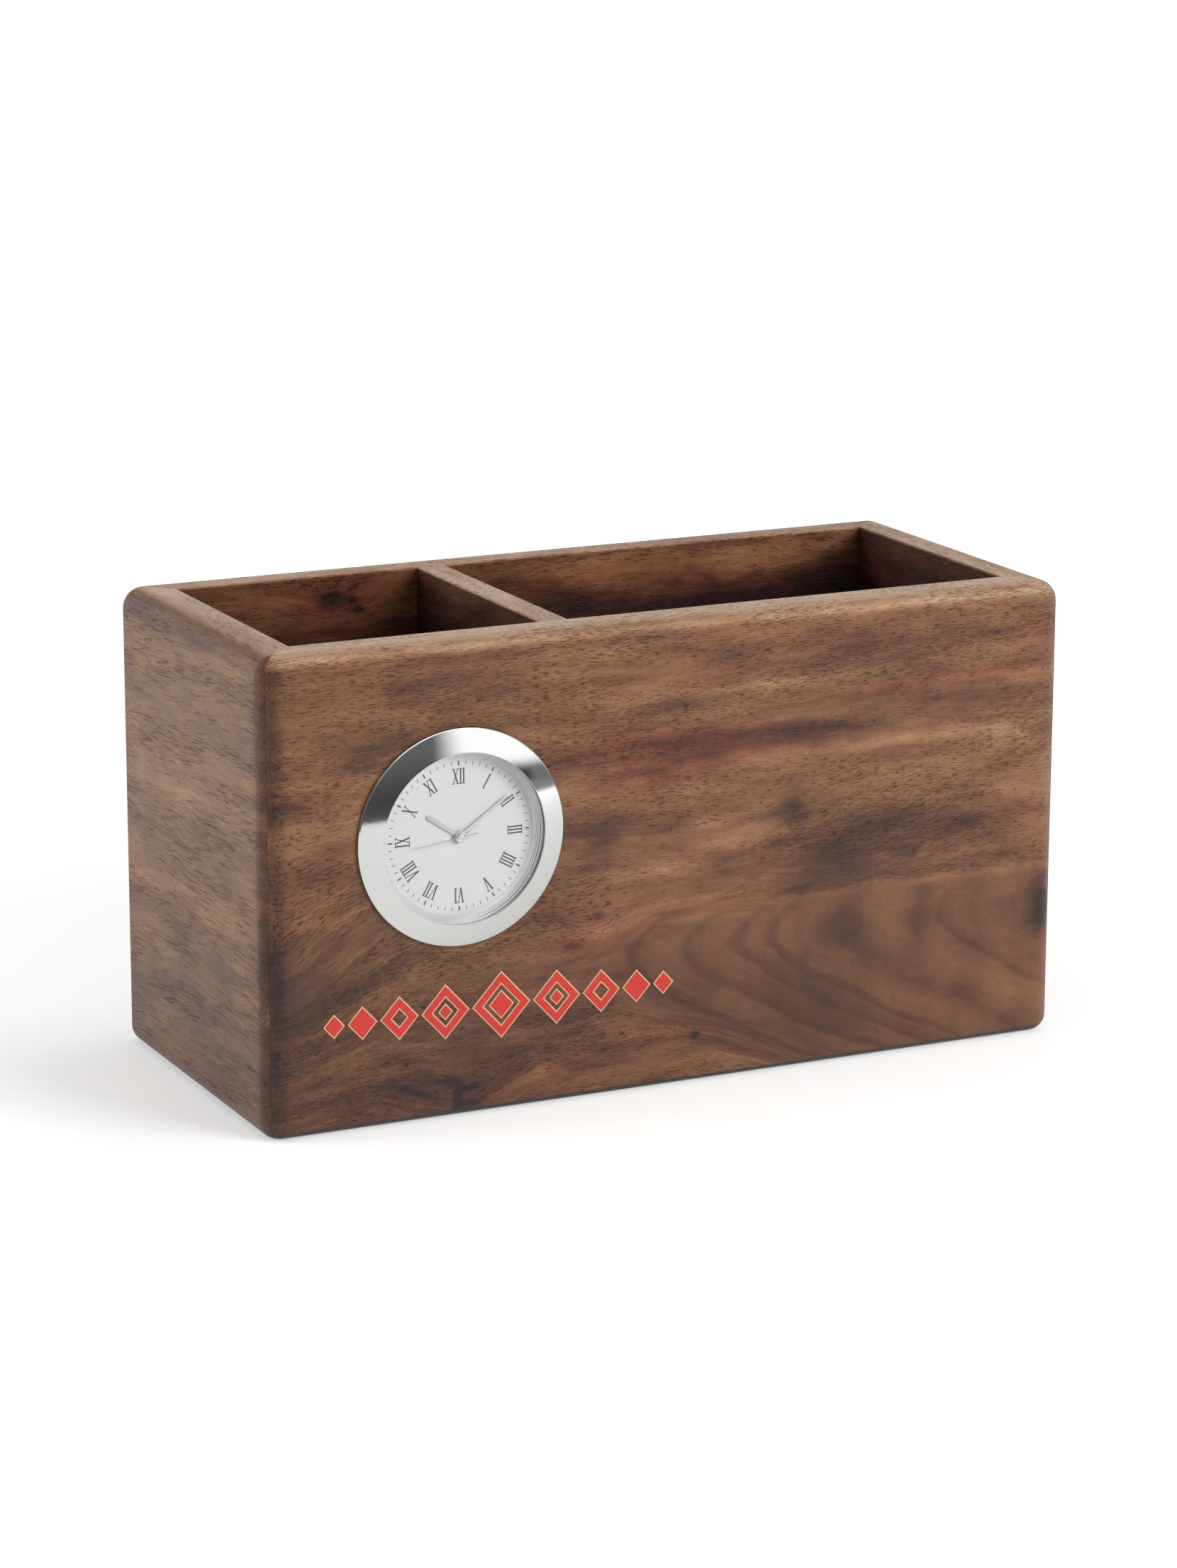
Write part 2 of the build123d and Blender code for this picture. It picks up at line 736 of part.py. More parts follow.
with BuildPart() as battery_door:
    disc(well_radius + door_flange - slide_gap, door_front + slide_gap, case_back, (cell_place,))
    disc(well_radius - slide_gap, cell_back + slide_gap, door_front + slide_gap, (cell_place,))
    door_slot_front = case_back - door_slot_depth
    block(door_slot_length, door_slot_width, door_slot_front, case_back, cell_place, mode=Mode.SUBTRACT)

# Going train, from the seconds wheel to the centre wheel and back to the rotor. Its arbors end
# inside the bridge, half way through.
arbor_front = plate_front + plate_thickness / 2
arbor_back = bridge_front + bridge_thickness / 2
second_arbor_front = second_hand_back - hand_thickness - second_cap_height / 2
third_turn = mesh_turn(0.0, seconds_pinion_teeth, third_teeth, third_angle)
centre_turn = mesh_turn(0.0, third_pinion_teeth, centre_teeth, third_angle + 180)
intermediate_turn = mesh_turn(0.0, seconds_teeth, intermediate_pinion_teeth, intermediate_angle)
rotor_turn = mesh_turn(0.0, intermediate_teeth, rotor_pinion_teeth, rotor_angle)

with BuildPart() as seconds_wheel:
    gear(seconds_teeth, fine_module, seconds_wheel_front, seconds_wheel_back)
    windows(seconds_teeth, fine_module, seconds_wheel_front, seconds_wheel_back)
    gear(seconds_pinion_teeth, third_module, third_wheel_front - pinion_overlap, seconds_wheel_front)
    disc(arbor_radius, second_arbor_front, arbor_back)

with BuildPart() as third_wheel:
    gear(third_teeth, third_module, third_wheel_front, third_wheel_back, third_place, third_turn)
    windows(third_teeth, third_module, third_wheel_front, third_wheel_back, third_place)
    pinion_front = centre_wheel_front - pinion_overlap
    gear(third_pinion_teeth, fine_module, pinion_front, third_wheel_front, third_place)
    disc(arbor_radius, arbor_front, arbor_back, (third_place,))

with BuildPart() as centre_wheel:
    gear(centre_teeth, fine_module, centre_wheel_front, centre_wheel_back, turn=centre_turn)
    windows(centre_teeth, fine_module, centre_wheel_front, centre_wheel_back)
    disc(centre_hub_radius, cannon_back + slide_gap, centre_wheel_back + pinion_overlap)
    hole_back = centre_wheel_back + pinion_overlap
    disc(arbor_radius + pivot_gap, cannon_back, hole_back, mode=Mode.SUBTRACT)

with BuildPart() as intermediate_wheel:
    gear(intermediate_teeth, fine_module, intermediate_front, intermediate_back, intermediate_place)
    windows(intermediate_teeth, fine_module, intermediate_front, intermediate_back, intermediate_place)
    gear(
        intermediate_pinion_teeth,
        fine_module,
        intermediate_back,
        seconds_wheel_back + pinion_overlap,
        intermediate_place,
        intermediate_turn,
    )
    disc(arbor_radius, arbor_front, arbor_back, (intermediate_place,))

with BuildPart() as rotor_pinion:
    pinion_front = intermediate_front - pinion_overlap
    gear(rotor_pinion_teeth, fine_module, pinion_front, magnet_front, rotor_place, rotor_turn)
    disc(arbor_radius, arbor_front, arbor_back, (rotor_place,))

with BuildPart() as rotor_magnet:
    disc(magnet_radius, magnet_front, magnet_back, (rotor_place,))
    disc(arbor_radius + press_gap, magnet_front, magnet_back, (rotor_place,), Mode.SUBTRACT)

# Motion work between the dial and the main plate
minute_turn = mesh_turn(0.0, cannon_teeth, minute_wheel_teeth, motion_angle)
hour_turn = mesh_turn(0.0, minute_pinion_teeth, hour_teeth, motion_angle + 180)
set_turn = mesh_turn(minute_turn, minute_wheel_teeth, set_teeth, motion_angle)
cannon_front = minute_hand_back - 2 * hand_thickness
motion_pinion_front = minute_wheel_front - pinion_overlap
motion_pinion_back = minute_wheel_back + pinion_overlap

with BuildPart() as cannon_pinion:
    gear(cannon_teeth, motion_module, motion_pinion_front, motion_pinion_back)
    disc(cannon_radius, cannon_front, cannon_back)
    disc(arbor_radius + pivot_gap, cannon_front, cannon_back, mode=Mode.SUBTRACT)

with BuildPart() as minute_wheel:
    gear(minute_wheel_teeth, motion_module, minute_wheel_front, minute_wheel_back, minute_place, minute_turn)
    windows(minute_wheel_teeth, motion_module, minute_wheel_front, minute_wheel_back, minute_place)
    gear(minute_pinion_teeth, hour_module, hour_wheel_front, minute_wheel_front, minute_place)
    disc(stud_radius + pivot_gap, hour_wheel_front, minute_wheel_back, (minute_place,), Mode.SUBTRACT)

with BuildPart() as hour_wheel:
    gear(hour_teeth, hour_module, hour_wheel_front, hour_wheel_back, turn=hour_turn)
    tube_front = hour_hand_back - 2 * hand_thickness
    disc(hour_tube_radius, tube_front, hour_wheel_back)
    disc(cannon_radius + pivot_gap, tube_front, hour_wheel_back, mode=Mode.SUBTRACT)

with BuildPart() as set_pinion:
    gear(set_teeth, motion_module, motion_pinion_front, motion_pinion_back, set_place, set_turn)
    disc(set_arbor_radius, motion_pinion_front, knob_front + knob_height / 2, (set_place,))

with BuildPart() as set_knob:
    disc(knob_radius, knob_front, knob_front + knob_height, (set_place,))
    grooves = [polar(knob_radius, 360 * k / knob_grooves, set_place) for k in range(knob_grooves)]
    disc(knob_groove_radius, knob_front, knob_front + knob_height, grooves, Mode.SUBTRACT)
    disc(set_arbor_radius + press_gap, knob_front, knob_front + knob_height / 2, (set_place,), Mode.SUBTRACT)


# Hands. Each lies on its own plane, turned clockwise from twelve.
minute_reading = 360 * shown_minutes / 60
hour_reading = 360 * (shown_hours + shown_minutes / 60) / 12
second_reading = 360 * shown_seconds / 60


def hand(front, back, reading, root_half_width, tip_half_width, length, tail=0.0):
    """Flat tapered hand between two depths, drawn towards twelve and then turned."""
    with BuildSketch(depth_plane(back)) as outline:
        with Locations(Location((0, 0, 0), (0, 0, -reading))):
            Polygon(
                (-root_half_width, -tail),
                (root_half_width, -tail),
                (tip_half_width, length),
                (-tip_half_width, length),
                align=None,
            )
    slab(outline.sketch, front, back)


with BuildPart() as hour_hand:
    hour_hand_front = hour_hand_back - hand_thickness
    hand(
        hour_hand_front,
        hour_hand_back,
        hour_reading,
        hour_hand_root / 2,
        hour_hand_width / 2,
        hour_hand_length,
    )
    disc(hour_hub_radius, hour_hand_front, hour_hand_back)
    disc(hour_tube_radius + press_gap, hour_hand_front, hour_hand_back, mode=Mode.SUBTRACT)

with BuildPart() as minute_hand:
    minute_hand_front = minute_hand_back - hand_thickness
    hand(
        minute_hand_front,
        minute_hand_back,
        minute_reading,
        minute_hand_root / 2,
        minute_hand_width / 2,
        minute_hand_length,
    )
    disc(minute_hub_radius, minute_hand_front, minute_hand_back)
    disc(cannon_radius + press_gap, minute_hand_front, minute_hand_back, mode=Mode.SUBTRACT)

with BuildPart() as second_hand:
    second_hand_front = second_hand_back - hand_thickness
    second_half_width = second_hand_width / 2
    hand(
        second_hand_front,
        second_hand_back,
        second_reading,
        second_half_width,
        second_half_width,
        second_hand_length,
        second_hand_tail,
    )
    disc(second_cap_radius, second_hand_front - second_cap_height, second_hand_back)
    disc(arbor_radius + press_gap, second_arbor_front, second_hand_back, mode=Mode.SUBTRACT)

pieces = {
    "front_board": front_board,
    "back_board": back_board,
    "left_board": left_board,
    "right_board": right_board,
    "divider": divider,
    "bottom_panel": bottom_panel,
    "decal_outline": decal_outline,
    "decal_fill": decal_fill,
    "bezel": bezel,
    "lens": lens,
    "lens_gasket": lens_gasket,
    "reflector_ring": reflector_ring,
    "dial": dial,
    "case": case,
    "grip_ring": grip_ring,
    "main_plate": main_plate,
    "train_bridge": train_bridge,
    "plate_screws": plate_screws,
    "bridge_screws": bridge_screws,
    "coil_screws": coil_screws,
    "stator": stator,
    "coil_core": coil_core,
    "coil_winding": coil_winding,
    "circuit_board": circuit_board,
    "driver_chip": driver_chip,
    "quartz_crystal": quartz_crystal,
    "positive_contact": positive_contact,
    "negative_contact": negative_contact,
    "button_cell": button_cell,
    "battery_door": battery_door,
    "seconds_wheel": seconds_wheel,
    "third_wheel": third_wheel,
    "centre_wheel": centre_wheel,
    "intermediate_wheel": intermediate_wheel,
    "rotor_pinion": rotor_pinion,
    "rotor_magnet": rotor_magnet,
    "cannon_pinion": cannon_pinion,
    "minute_wheel": minute_wheel,
    "hour_wheel": hour_wheel,
    "set_pinion": set_pinion,
    "set_knob": set_knob,
    "hour_hand": hour_hand,
    "minute_hand": minute_hand,
    "second_hand": second_hand,
}
for name, piece in pieces.items():
    piece.part.label = name
    export_step(piece.part, f"parts/{name}.step")
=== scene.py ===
import json
from math import cos, pi, radians, sin

import bmesh
import bpy
import numpy as np
from mathutils import Matrix, Vector


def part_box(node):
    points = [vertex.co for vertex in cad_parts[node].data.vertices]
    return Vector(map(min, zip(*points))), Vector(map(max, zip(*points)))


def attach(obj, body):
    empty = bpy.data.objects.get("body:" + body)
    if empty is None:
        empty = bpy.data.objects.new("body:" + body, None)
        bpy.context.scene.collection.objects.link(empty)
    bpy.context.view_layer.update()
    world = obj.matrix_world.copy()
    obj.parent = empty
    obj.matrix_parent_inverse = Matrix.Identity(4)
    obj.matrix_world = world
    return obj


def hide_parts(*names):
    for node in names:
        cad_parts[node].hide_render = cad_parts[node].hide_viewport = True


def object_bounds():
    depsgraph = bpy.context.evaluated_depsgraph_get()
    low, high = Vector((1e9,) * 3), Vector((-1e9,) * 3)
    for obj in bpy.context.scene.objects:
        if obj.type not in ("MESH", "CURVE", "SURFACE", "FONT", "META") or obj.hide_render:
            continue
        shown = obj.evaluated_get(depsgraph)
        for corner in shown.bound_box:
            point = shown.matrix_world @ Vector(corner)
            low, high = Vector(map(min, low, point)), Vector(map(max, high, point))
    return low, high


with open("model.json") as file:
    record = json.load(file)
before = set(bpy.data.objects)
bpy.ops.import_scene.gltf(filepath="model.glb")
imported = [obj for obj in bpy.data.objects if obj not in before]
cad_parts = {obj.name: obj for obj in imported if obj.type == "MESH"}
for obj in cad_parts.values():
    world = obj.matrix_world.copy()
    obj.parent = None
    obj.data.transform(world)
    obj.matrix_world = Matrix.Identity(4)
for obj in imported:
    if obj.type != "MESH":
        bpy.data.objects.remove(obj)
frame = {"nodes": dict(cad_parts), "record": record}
cad_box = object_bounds()
nodes = frame["nodes"]
body_of = {node: body for body, members in frame["record"]["behaviour"]["bodies"].items() for node in members}

MM = 0.001
FULL_TURN = 2 * pi

# The wood's front face and the clock's axis in metres, and the box's sides in mm, read from the frame
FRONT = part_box("front_board")[0].y
bezel_low, bezel_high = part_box("bezel")
AXIS_X = (bezel_low.x + bezel_high.x) / 2
AXIS_Z = (bezel_low.z + bezel_high.z) / 2
FRONT_MM, LEFT_MM = FRONT / MM, cad_box[0].x / MM
RIGHT_MM, BACK_MM, TOP_MM = (place / MM for place in cad_box[1])


def depth_of(node, end=0):
    """Depth in mm behind the wood's front face of a node's front (end 0) or back (end 1)."""
    return (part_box(node)[end].y - FRONT) / MM


def radius_of(node):
    """Half of a node's width, in mm."""
    low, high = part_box(node)
    return (high.x - low.x) / 2 / MM


def linked(name, data):
    thing = bpy.data.objects.new(name, data)
    bpy.context.scene.collection.objects.link(thing)
    return thing


# --- Finishes: small tools for node trees ---


def place_node(tree, kind, **settings):
    node = tree.nodes.new(kind)
    for key, value in settings.items():
        setattr(node, key, value)
    return node


def feed(tree, socket, value):
    """Links a socket to another node's output, or sets its plain value."""
    if isinstance(value, bpy.types.NodeSocket):
        tree.links.new(value, socket)
    else:
        socket.default_value = value


def feed_all(tree, node, **values):
    """Feeds a node's inputs by their names, with _ for a space."""
    for label, value in values.items():
        feed(tree, node.inputs[label.replace("_", " ")], value)


def maths(tree, operation, first, second=0.0, third=None, clamp=False):
    node = place_node(tree, "ShaderNodeMath", operation=operation, use_clamp=clamp)
    feed(tree, node.inputs[0], first)
    feed(tree, node.inputs[1], second)
    if third is not None:
        feed(tree, node.inputs[2], third)
    return node.outputs[0]


def times(tree, first, second):
    return maths(tree, "MULTIPLY", first, second)


def centred(tree, value):
    """A noise, which is 0.5 in its middle, as a number about 0."""
    return maths(tree, "SUBTRACT", value, 0.5)


def vector(tree, x, y, z):
    node = place_node(tree, "ShaderNodeCombineXYZ")
    for socket, value in zip(node.inputs, (x, y, z)):
        feed(tree, socket, value)
    return node.outputs[0]


def parts(tree, source):
    node = place_node(tree, "ShaderNodeSeparateXYZ")
    feed(tree, node.inputs[0], source)
    return node.outputs


def vector_maths(tree, operation, first, second=None):
    """Vector that an operation gives, or its number if it is a length or a dot product."""
    node = place_node(tree, "ShaderNodeVectorMath", operation=operation)
    feed(tree, node.inputs[0], first)
    if second is not None:
        feed(tree, node.inputs[1], second)
    return node.outputs["Value" if operation in ("LENGTH", "DOT_PRODUCT") else "Vector"]


def noise(tree, source, scale, detail=2.0, rough=0.5, distort=0.0):
    """Noise at a scale, which is one number or one for each axis."""
    if isinstance(scale, tuple):
        source, scale = vector_maths(tree, "MULTIPLY", source, scale), 1.0
    node = place_node(tree, "ShaderNodeTexNoise")
    feed_all(tree, node, Vector=source, Scale=scale, Detail=detail, Roughness=rough, Distortion=distort)
    return node.outputs["Fac"]


def band(tree, value, low, high, to_low=0.0, to_high=1.0, smooth=True):
    """Smooth or straight step of a value from one level to another."""
    kind = "SMOOTHSTEP" if smooth else "LINEAR"
    node = place_node(tree, "ShaderNodeMapRange", interpolation_type=kind)
    for socket, number in zip(node.inputs, (value, low, high, to_low, to_high)):
        feed(tree, socket, number)
    return node.outputs[0]


def blended(tree, share, first, second, how="MIX", kind="RGBA"):
    node = place_node(tree, "ShaderNodeMix", data_type=kind, blend_type=how)
    feed_all(tree, node, Factor=share, A=first, B=second)
    return node.outputs["Result"]


def ramp(tree, value, stops):
    node = place_node(tree, "ShaderNodeValToRGB")
    feed(tree, node.inputs[0], value)
    points = node.color_ramp.elements
    while len(points) < len(stops):
        points.new(0.5)
    for point, (place, colour) in zip(points, stops):
        point.position = place
        point.color = (*colour, 1.0)
    return node.outputs[0]


# What a group's socket with such a name carries, if it isn't a number
SOCKET_KINDS = {"Board": "NodeSocketVector", "Place": "NodeSocketVector", "Centre": "NodeSocketVector",
                "Color": "NodeSocketColor"}


def new_group(name, inputs, outputs):
    """Empty shader group with named sockets. Returns its tree, its inputs and the node that it ends in."""
    tree = bpy.data.node_groups.new(name, "ShaderNodeTree")
    for way, labels in (("INPUT", inputs), ("OUTPUT", outputs)):
        for label in labels:
            kind = SOCKET_KINDS.get(label, "NodeSocketFloat")
            tree.interface.new_socket(label, in_out=way, socket_type=kind)
    return tree, place_node(tree, "NodeGroupInput").outputs, place_node(tree, "NodeGroupOutput")


def use_group(tree, group, **values):
    node = place_node(tree, "ShaderNodeGroup", node_tree=group)
    feed_all(tree, node, **values)
    return node.outputs


# Walnut's colours from its darkest to its lightest streak, and what reddish grain and a pore multiply
# them by
WALNUT_COLOURS = [
    (0.0, (0.028, 0.013, 0.011)),
    (0.28, (0.108, 0.041, 0.0235)),
    (0.5, (0.222, 0.100, 0.045)),
    (0.72, (0.340, 0.176, 0.081)),
    (1.0, (0.550, 0.360, 0.225)),
]
RED_TINT, PORE_TINT = (1.06, 0.75, 0.82, 1.0), (0.38, 0.30, 0.30, 1.0)
# Waves of its figure: scale along, across and into the board, strength, detail, roughness, distortion.
# The last and finest one is also the fibre of the surface.
WALNUT_WAVES = (
    ((4, 75, 30), 0.46, 2, 0.5, 0.0),
    ((12, 230, 110), 0.34, 2, 0.5, 0.0),
    ((26, 62, 60), 0.46, 3, 0.6, 0.0),
    ((45, 150, 130), 0.57, 2, 0.5, 0.5),
    ((150, 800, 700), 0.34, 2, 0.6, 0.0),
    ((190, 3800, 3800), 0.18, 2, 0.5, 0.0),
)


def make_timber_group():
    """Walnut in a board's own frame: X along the grain, Y across it and Z into the board, in metres.
    Colour bands follow Y, stretched far along X. Pores are short dark dashes along X."""
    tree, given, made = new_group("walnut_timber", ("Board", "Tone", "Red", "Pores", "Shortness", "Figure"),
                                  ("Color", "Height", "Roughness"))
    along, across, into = parts(tree, given["Board"])
    waver = noise(tree, given["Board"], (8, 24, 24))
    ripple = noise(tree, given["Board"], (70, 150, 150))
    ripple = times(tree, ripple, times(tree, given["Figure"], 0.0022))
    drift = maths(tree, "MULTIPLY_ADD", waver, 0.012, ripple)
    grain = vector(tree, along, maths(tree, "ADD", across, drift), into)
    figure = 0.0
    for scale, strength, *rest in WALNUT_WAVES:
        fibre = noise(tree, grain, scale, *rest)
        figure = maths(tree, "MULTIPLY_ADD", centred(tree, fibre), strength, figure)
    level = maths(tree, "MULTIPLY_ADD", figure, given["Figure"], maths(tree, "ADD", given["Tone"], 0.5))
    colour = ramp(tree, level, WALNUT_COLOURS)
    warm = noise(tree, grain, (16, 85, 60))
    redness = maths(tree, "ADD", band(tree, warm, 0.48, 0.78, 0.0, 0.35), given["Red"], clamp=True)
    colour = blended(tree, redness, colour, RED_TINT, "MULTIPLY")
    crowd = noise(tree, grain, (22, 120, 120))
    lengthwise = times(tree, along, given["Shortness"])
    vessels = vector(tree, lengthwise, maths(tree, "ADD", across, drift), into)
    dash = noise(tree, vessels, (430, 3600, 3600), detail=1, rough=0.4, distort=0.12)
    fine_dash = noise(tree, vessels, (640, 5600, 5600), detail=1, rough=0.4)
    edge = band(tree, crowd, 0.34, 0.62, 0.33, 0.44)
    soft_edge = maths(tree, "SUBTRACT", edge, 0.07)
    pore = maths(tree, "SUBTRACT", 1.0, band(tree, dash, soft_edge, edge))
    fine_pore = maths(tree, "SUBTRACT", 1.0, band(tree, fine_dash, soft_edge, edge))
    pores = maths(tree, "MAXIMUM", pore, times(tree, fine_pore, 0.5))
    pores = maths(tree, "MULTIPLY", pores, given["Pores"], clamp=True)
    colour = blended(tree, times(tree, pores, 0.92), colour, PORE_TINT, "MULTIPLY")
    height = maths(tree, "MULTIPLY_ADD", fibre, 0.3, maths(tree, "SUBTRACT", 0.7, pores))
    rough = maths(tree, "MULTIPLY_ADD", pores, 0.15, maths(tree, "MULTIPLY_ADD", fibre, 0.12, 0.34))
    feed_all(tree, made, Color=colour, Height=height, Roughness=rough)
    return tree


BELL_INPUTS = ("Board", "Centre", "Half length", "Half height")


def bell(tree, given, steepness, swing=0.0):
    """Bell curve of the distance from a centre, counted in half sizes: exp(-steepness (x^2 + y^2))."""
    along, across, into = parts(tree, vector_maths(tree, "SUBTRACT", given["Board"], given["Centre"]))
    length_share = maths(tree, "ADD", maths(tree, "DIVIDE", along, given["Half length"]), swing)
    height_share = maths(tree, "ADD", maths(tree, "DIVIDE", across, given["Half height"]), swing)
    squares = times(tree, height_share, height_share)
    reach = maths(tree, "MULTIPLY_ADD", length_share, length_share, squares)
    return maths(tree, "EXPONENT", times(tree, reach, -steepness))


def make_patch_group():
    """Soft patch of a board, 1 at its centre. Swing is an uneven number that frays its outline."""
    tree, given, made = new_group("timber_patch", (*BELL_INPUTS, "Swing"), ("Mask",))
    feed_all(tree, made, Mask=bell(tree, given, 0.8, given["Swing"]))
    return tree


def make_knot_group():
    """Lifts the grain round a knot: the board's Y grows by a bell curve of the distance from its centre,
    so that the bands bend round it or close in rings."""
    tree, given, made = new_group("timber_knot", (*BELL_INPUTS, "Lift"), ("Board", "Core"))
    core = bell(tree, given, 1.0)
    along, across, into = parts(tree, given["Board"])
    lifted = maths(tree, "MULTIPLY_ADD", core, given["Lift"], across)
    feed_all(tree, made, Board=vector(tree, along, lifted, into), Core=core)
    return tree


# How far, in metres, the arches stray, and fade in at their start and under their top
ARCH_STRAY, ARCH_START_FADE, ARCH_TOP_FADE = 0.013, 0.03, 0.012
SPLAY, EASE, GAIN = 1.95, 0.012, 0.15


def make_cathedral_group():
    """Arched grain, nested arches that open along +X. Tip is where an arch crosses the axis at Axis height:
    the place along the board less the reach, sqrt((SPLAY * height)^2 + EASE^2) - EASE. Right of Start and
    under Top, the board's Y becomes Axis + GAIN * Tip, so that the bands follow the arches."""
    tree, given, made = new_group("timber_cathedral", ("Board", "Axis", "Start", "Top"),
                                  ("Board", "Tip", "Mask"))
    along, across, into = parts(tree, given["Board"])
    wander = noise(tree, given["Board"], (35, 60, 60))
    height = times(tree, maths(tree, "SUBTRACT", across, given["Axis"]), SPLAY)
    slant = maths(tree, "SQRT", maths(tree, "MULTIPLY_ADD", height, height, EASE * EASE))
    reach = maths(tree, "SUBTRACT", slant, EASE)
    unstrayed = maths(tree, "SUBTRACT", along, reach)
    tip = maths(tree, "MULTIPLY_ADD", centred(tree, wander), ARCH_STRAY, unstrayed)
    inside_start = band(tree, tip, maths(tree, "SUBTRACT", given["Start"], ARCH_START_FADE), given["Start"])
    under_top = band(tree, across, given["Top"], maths(tree, "SUBTRACT", given["Top"], ARCH_TOP_FADE))
    mask = times(tree, inside_start, under_top)
    arched = maths(tree, "MULTIPLY_ADD", tip, GAIN, given["Axis"])
    followed = blended(tree, mask, across, arched, kind="FLOAT")
    feed_all(tree, made, Board=vector(tree, along, followed, into), Tip=tip, Mask=mask)
    return tree


SKIN_SPREAD = 0.35


def make_skin_group():
    """Fine uneven skin of a moulded, cast or printed surface. Coordinates are in metres and Size is the
    grain's size per metre. It gives a mask for colour, a roughness and a height."""
    tree, given, made = new_group("fine_skin", ("Place", "Size", "Roughness"),
                                  ("Mask", "Roughness", "Height"))
    fine = noise(tree, given["Place"], given["Size"])
    wide = noise(tree, given["Place"], times(tree, given["Size"], 0.05), detail=3)
    both = maths(tree, "MULTIPLY_ADD", fine, 0.4, times(tree, wide, 0.6))
    rough = maths(tree, "MULTIPLY_ADD", centred(tree, both), SKIN_SPREAD, given["Roughness"], clamp=True)
    feed_all(tree, made, Mask=both, Roughness=rough, Height=fine)
    return tree


LOWER_RIGHT = (0.85, 0.0, -0.53)
GROOVES = 6000.0


def make_spun_group():
    """Marks of a lathe on a part turned about the clock's axis. Streak is a noise of the angle alone and
    gives lines that run out from the axis. Groove is a noise of the radius and the depth. Reach is the
    radius, and Lower right is 1 towards the lower right and -1 on the other side."""
    tree, given, made = new_group("spun_marks", ("Place", "Centre", "Streaks"),
                                  ("Streak", "Groove", "Reach", "Lower right"))
    right, back, up = parts(tree, vector_maths(tree, "SUBTRACT", given["Place"], given["Centre"]))
    flat = vector(tree, right, 0.0, up)
    reach = vector_maths(tree, "LENGTH", flat)
    ray = vector_maths(tree, "NORMALIZE", flat)
    feed_all(tree, made, Streak=noise(tree, ray, given["Streaks"], detail=3, rough=0.7), Reach=reach,
             Groove=noise(tree, vector(tree, reach, back, 0.0), GROOVES),
             Lower_right=vector_maths(tree, "DOT_PRODUCT", ray, LOWER_RIGHT))
    return tree


timber_group = make_timber_group()
patch_group = make_patch_group()
knot_group = make_knot_group()
cathedral_group = make_cathedral_group()
skin_group = make_skin_group()
spun_group = make_spun_group()


def new_finish(name):
    """Material with one Principled shader. Returns it, its tree, the shader and the piece's own place."""
    material = bpy.data.materials.new(name)
    material.use_nodes = True
    tree = material.node_tree
    tree.nodes.clear()
    shader = place_node(tree, "ShaderNodeBsdfPrincipled")
    output = place_node(tree, "ShaderNodeOutputMaterial")
    tree.links.new(shader.outputs[0], output.inputs["Surface"])
    place = place_node(tree, "ShaderNodeTexCoord").outputs["Object"]
    return material, tree, shader, place


def bumped(tree, shader, height, distance, strength):
    bump = place_node(tree, "ShaderNodeBump")
    feed_all(tree, bump, Strength=strength, Distance=distance, Height=height)
    tree.links.new(bump.outputs["Normal"], shader.inputs["Normal"])


def mixed_surface(tree, share, first, second):
    """Mixes two shaders at a material's output."""
    mixed = place_node(tree, "ShaderNodeMixShader")
    for socket, source in zip(mixed.inputs, (share, first, second)):
        tree.links.new(source, socket)
    output = next(node for node in tree.nodes if node.type == "OUTPUT_MATERIAL")
    tree.links.new(mixed.outputs[0], output.inputs["Surface"])


# Depths of the relief in the finishes, in metres
PORE_DEPTH, SKIN_DEPTH, SPUN_DEPTH, POLISH_DEPTH = 0.00015, 0.00002, 0.00001, 0.000002
# What the arches add to the tone, the pores and the figure, and how far a patch's outline frays
ARCH_LINES, ARCH_PORES, ARCH_FIGURE, FRAY = 0.85, -0.85, -0.45, 2.6


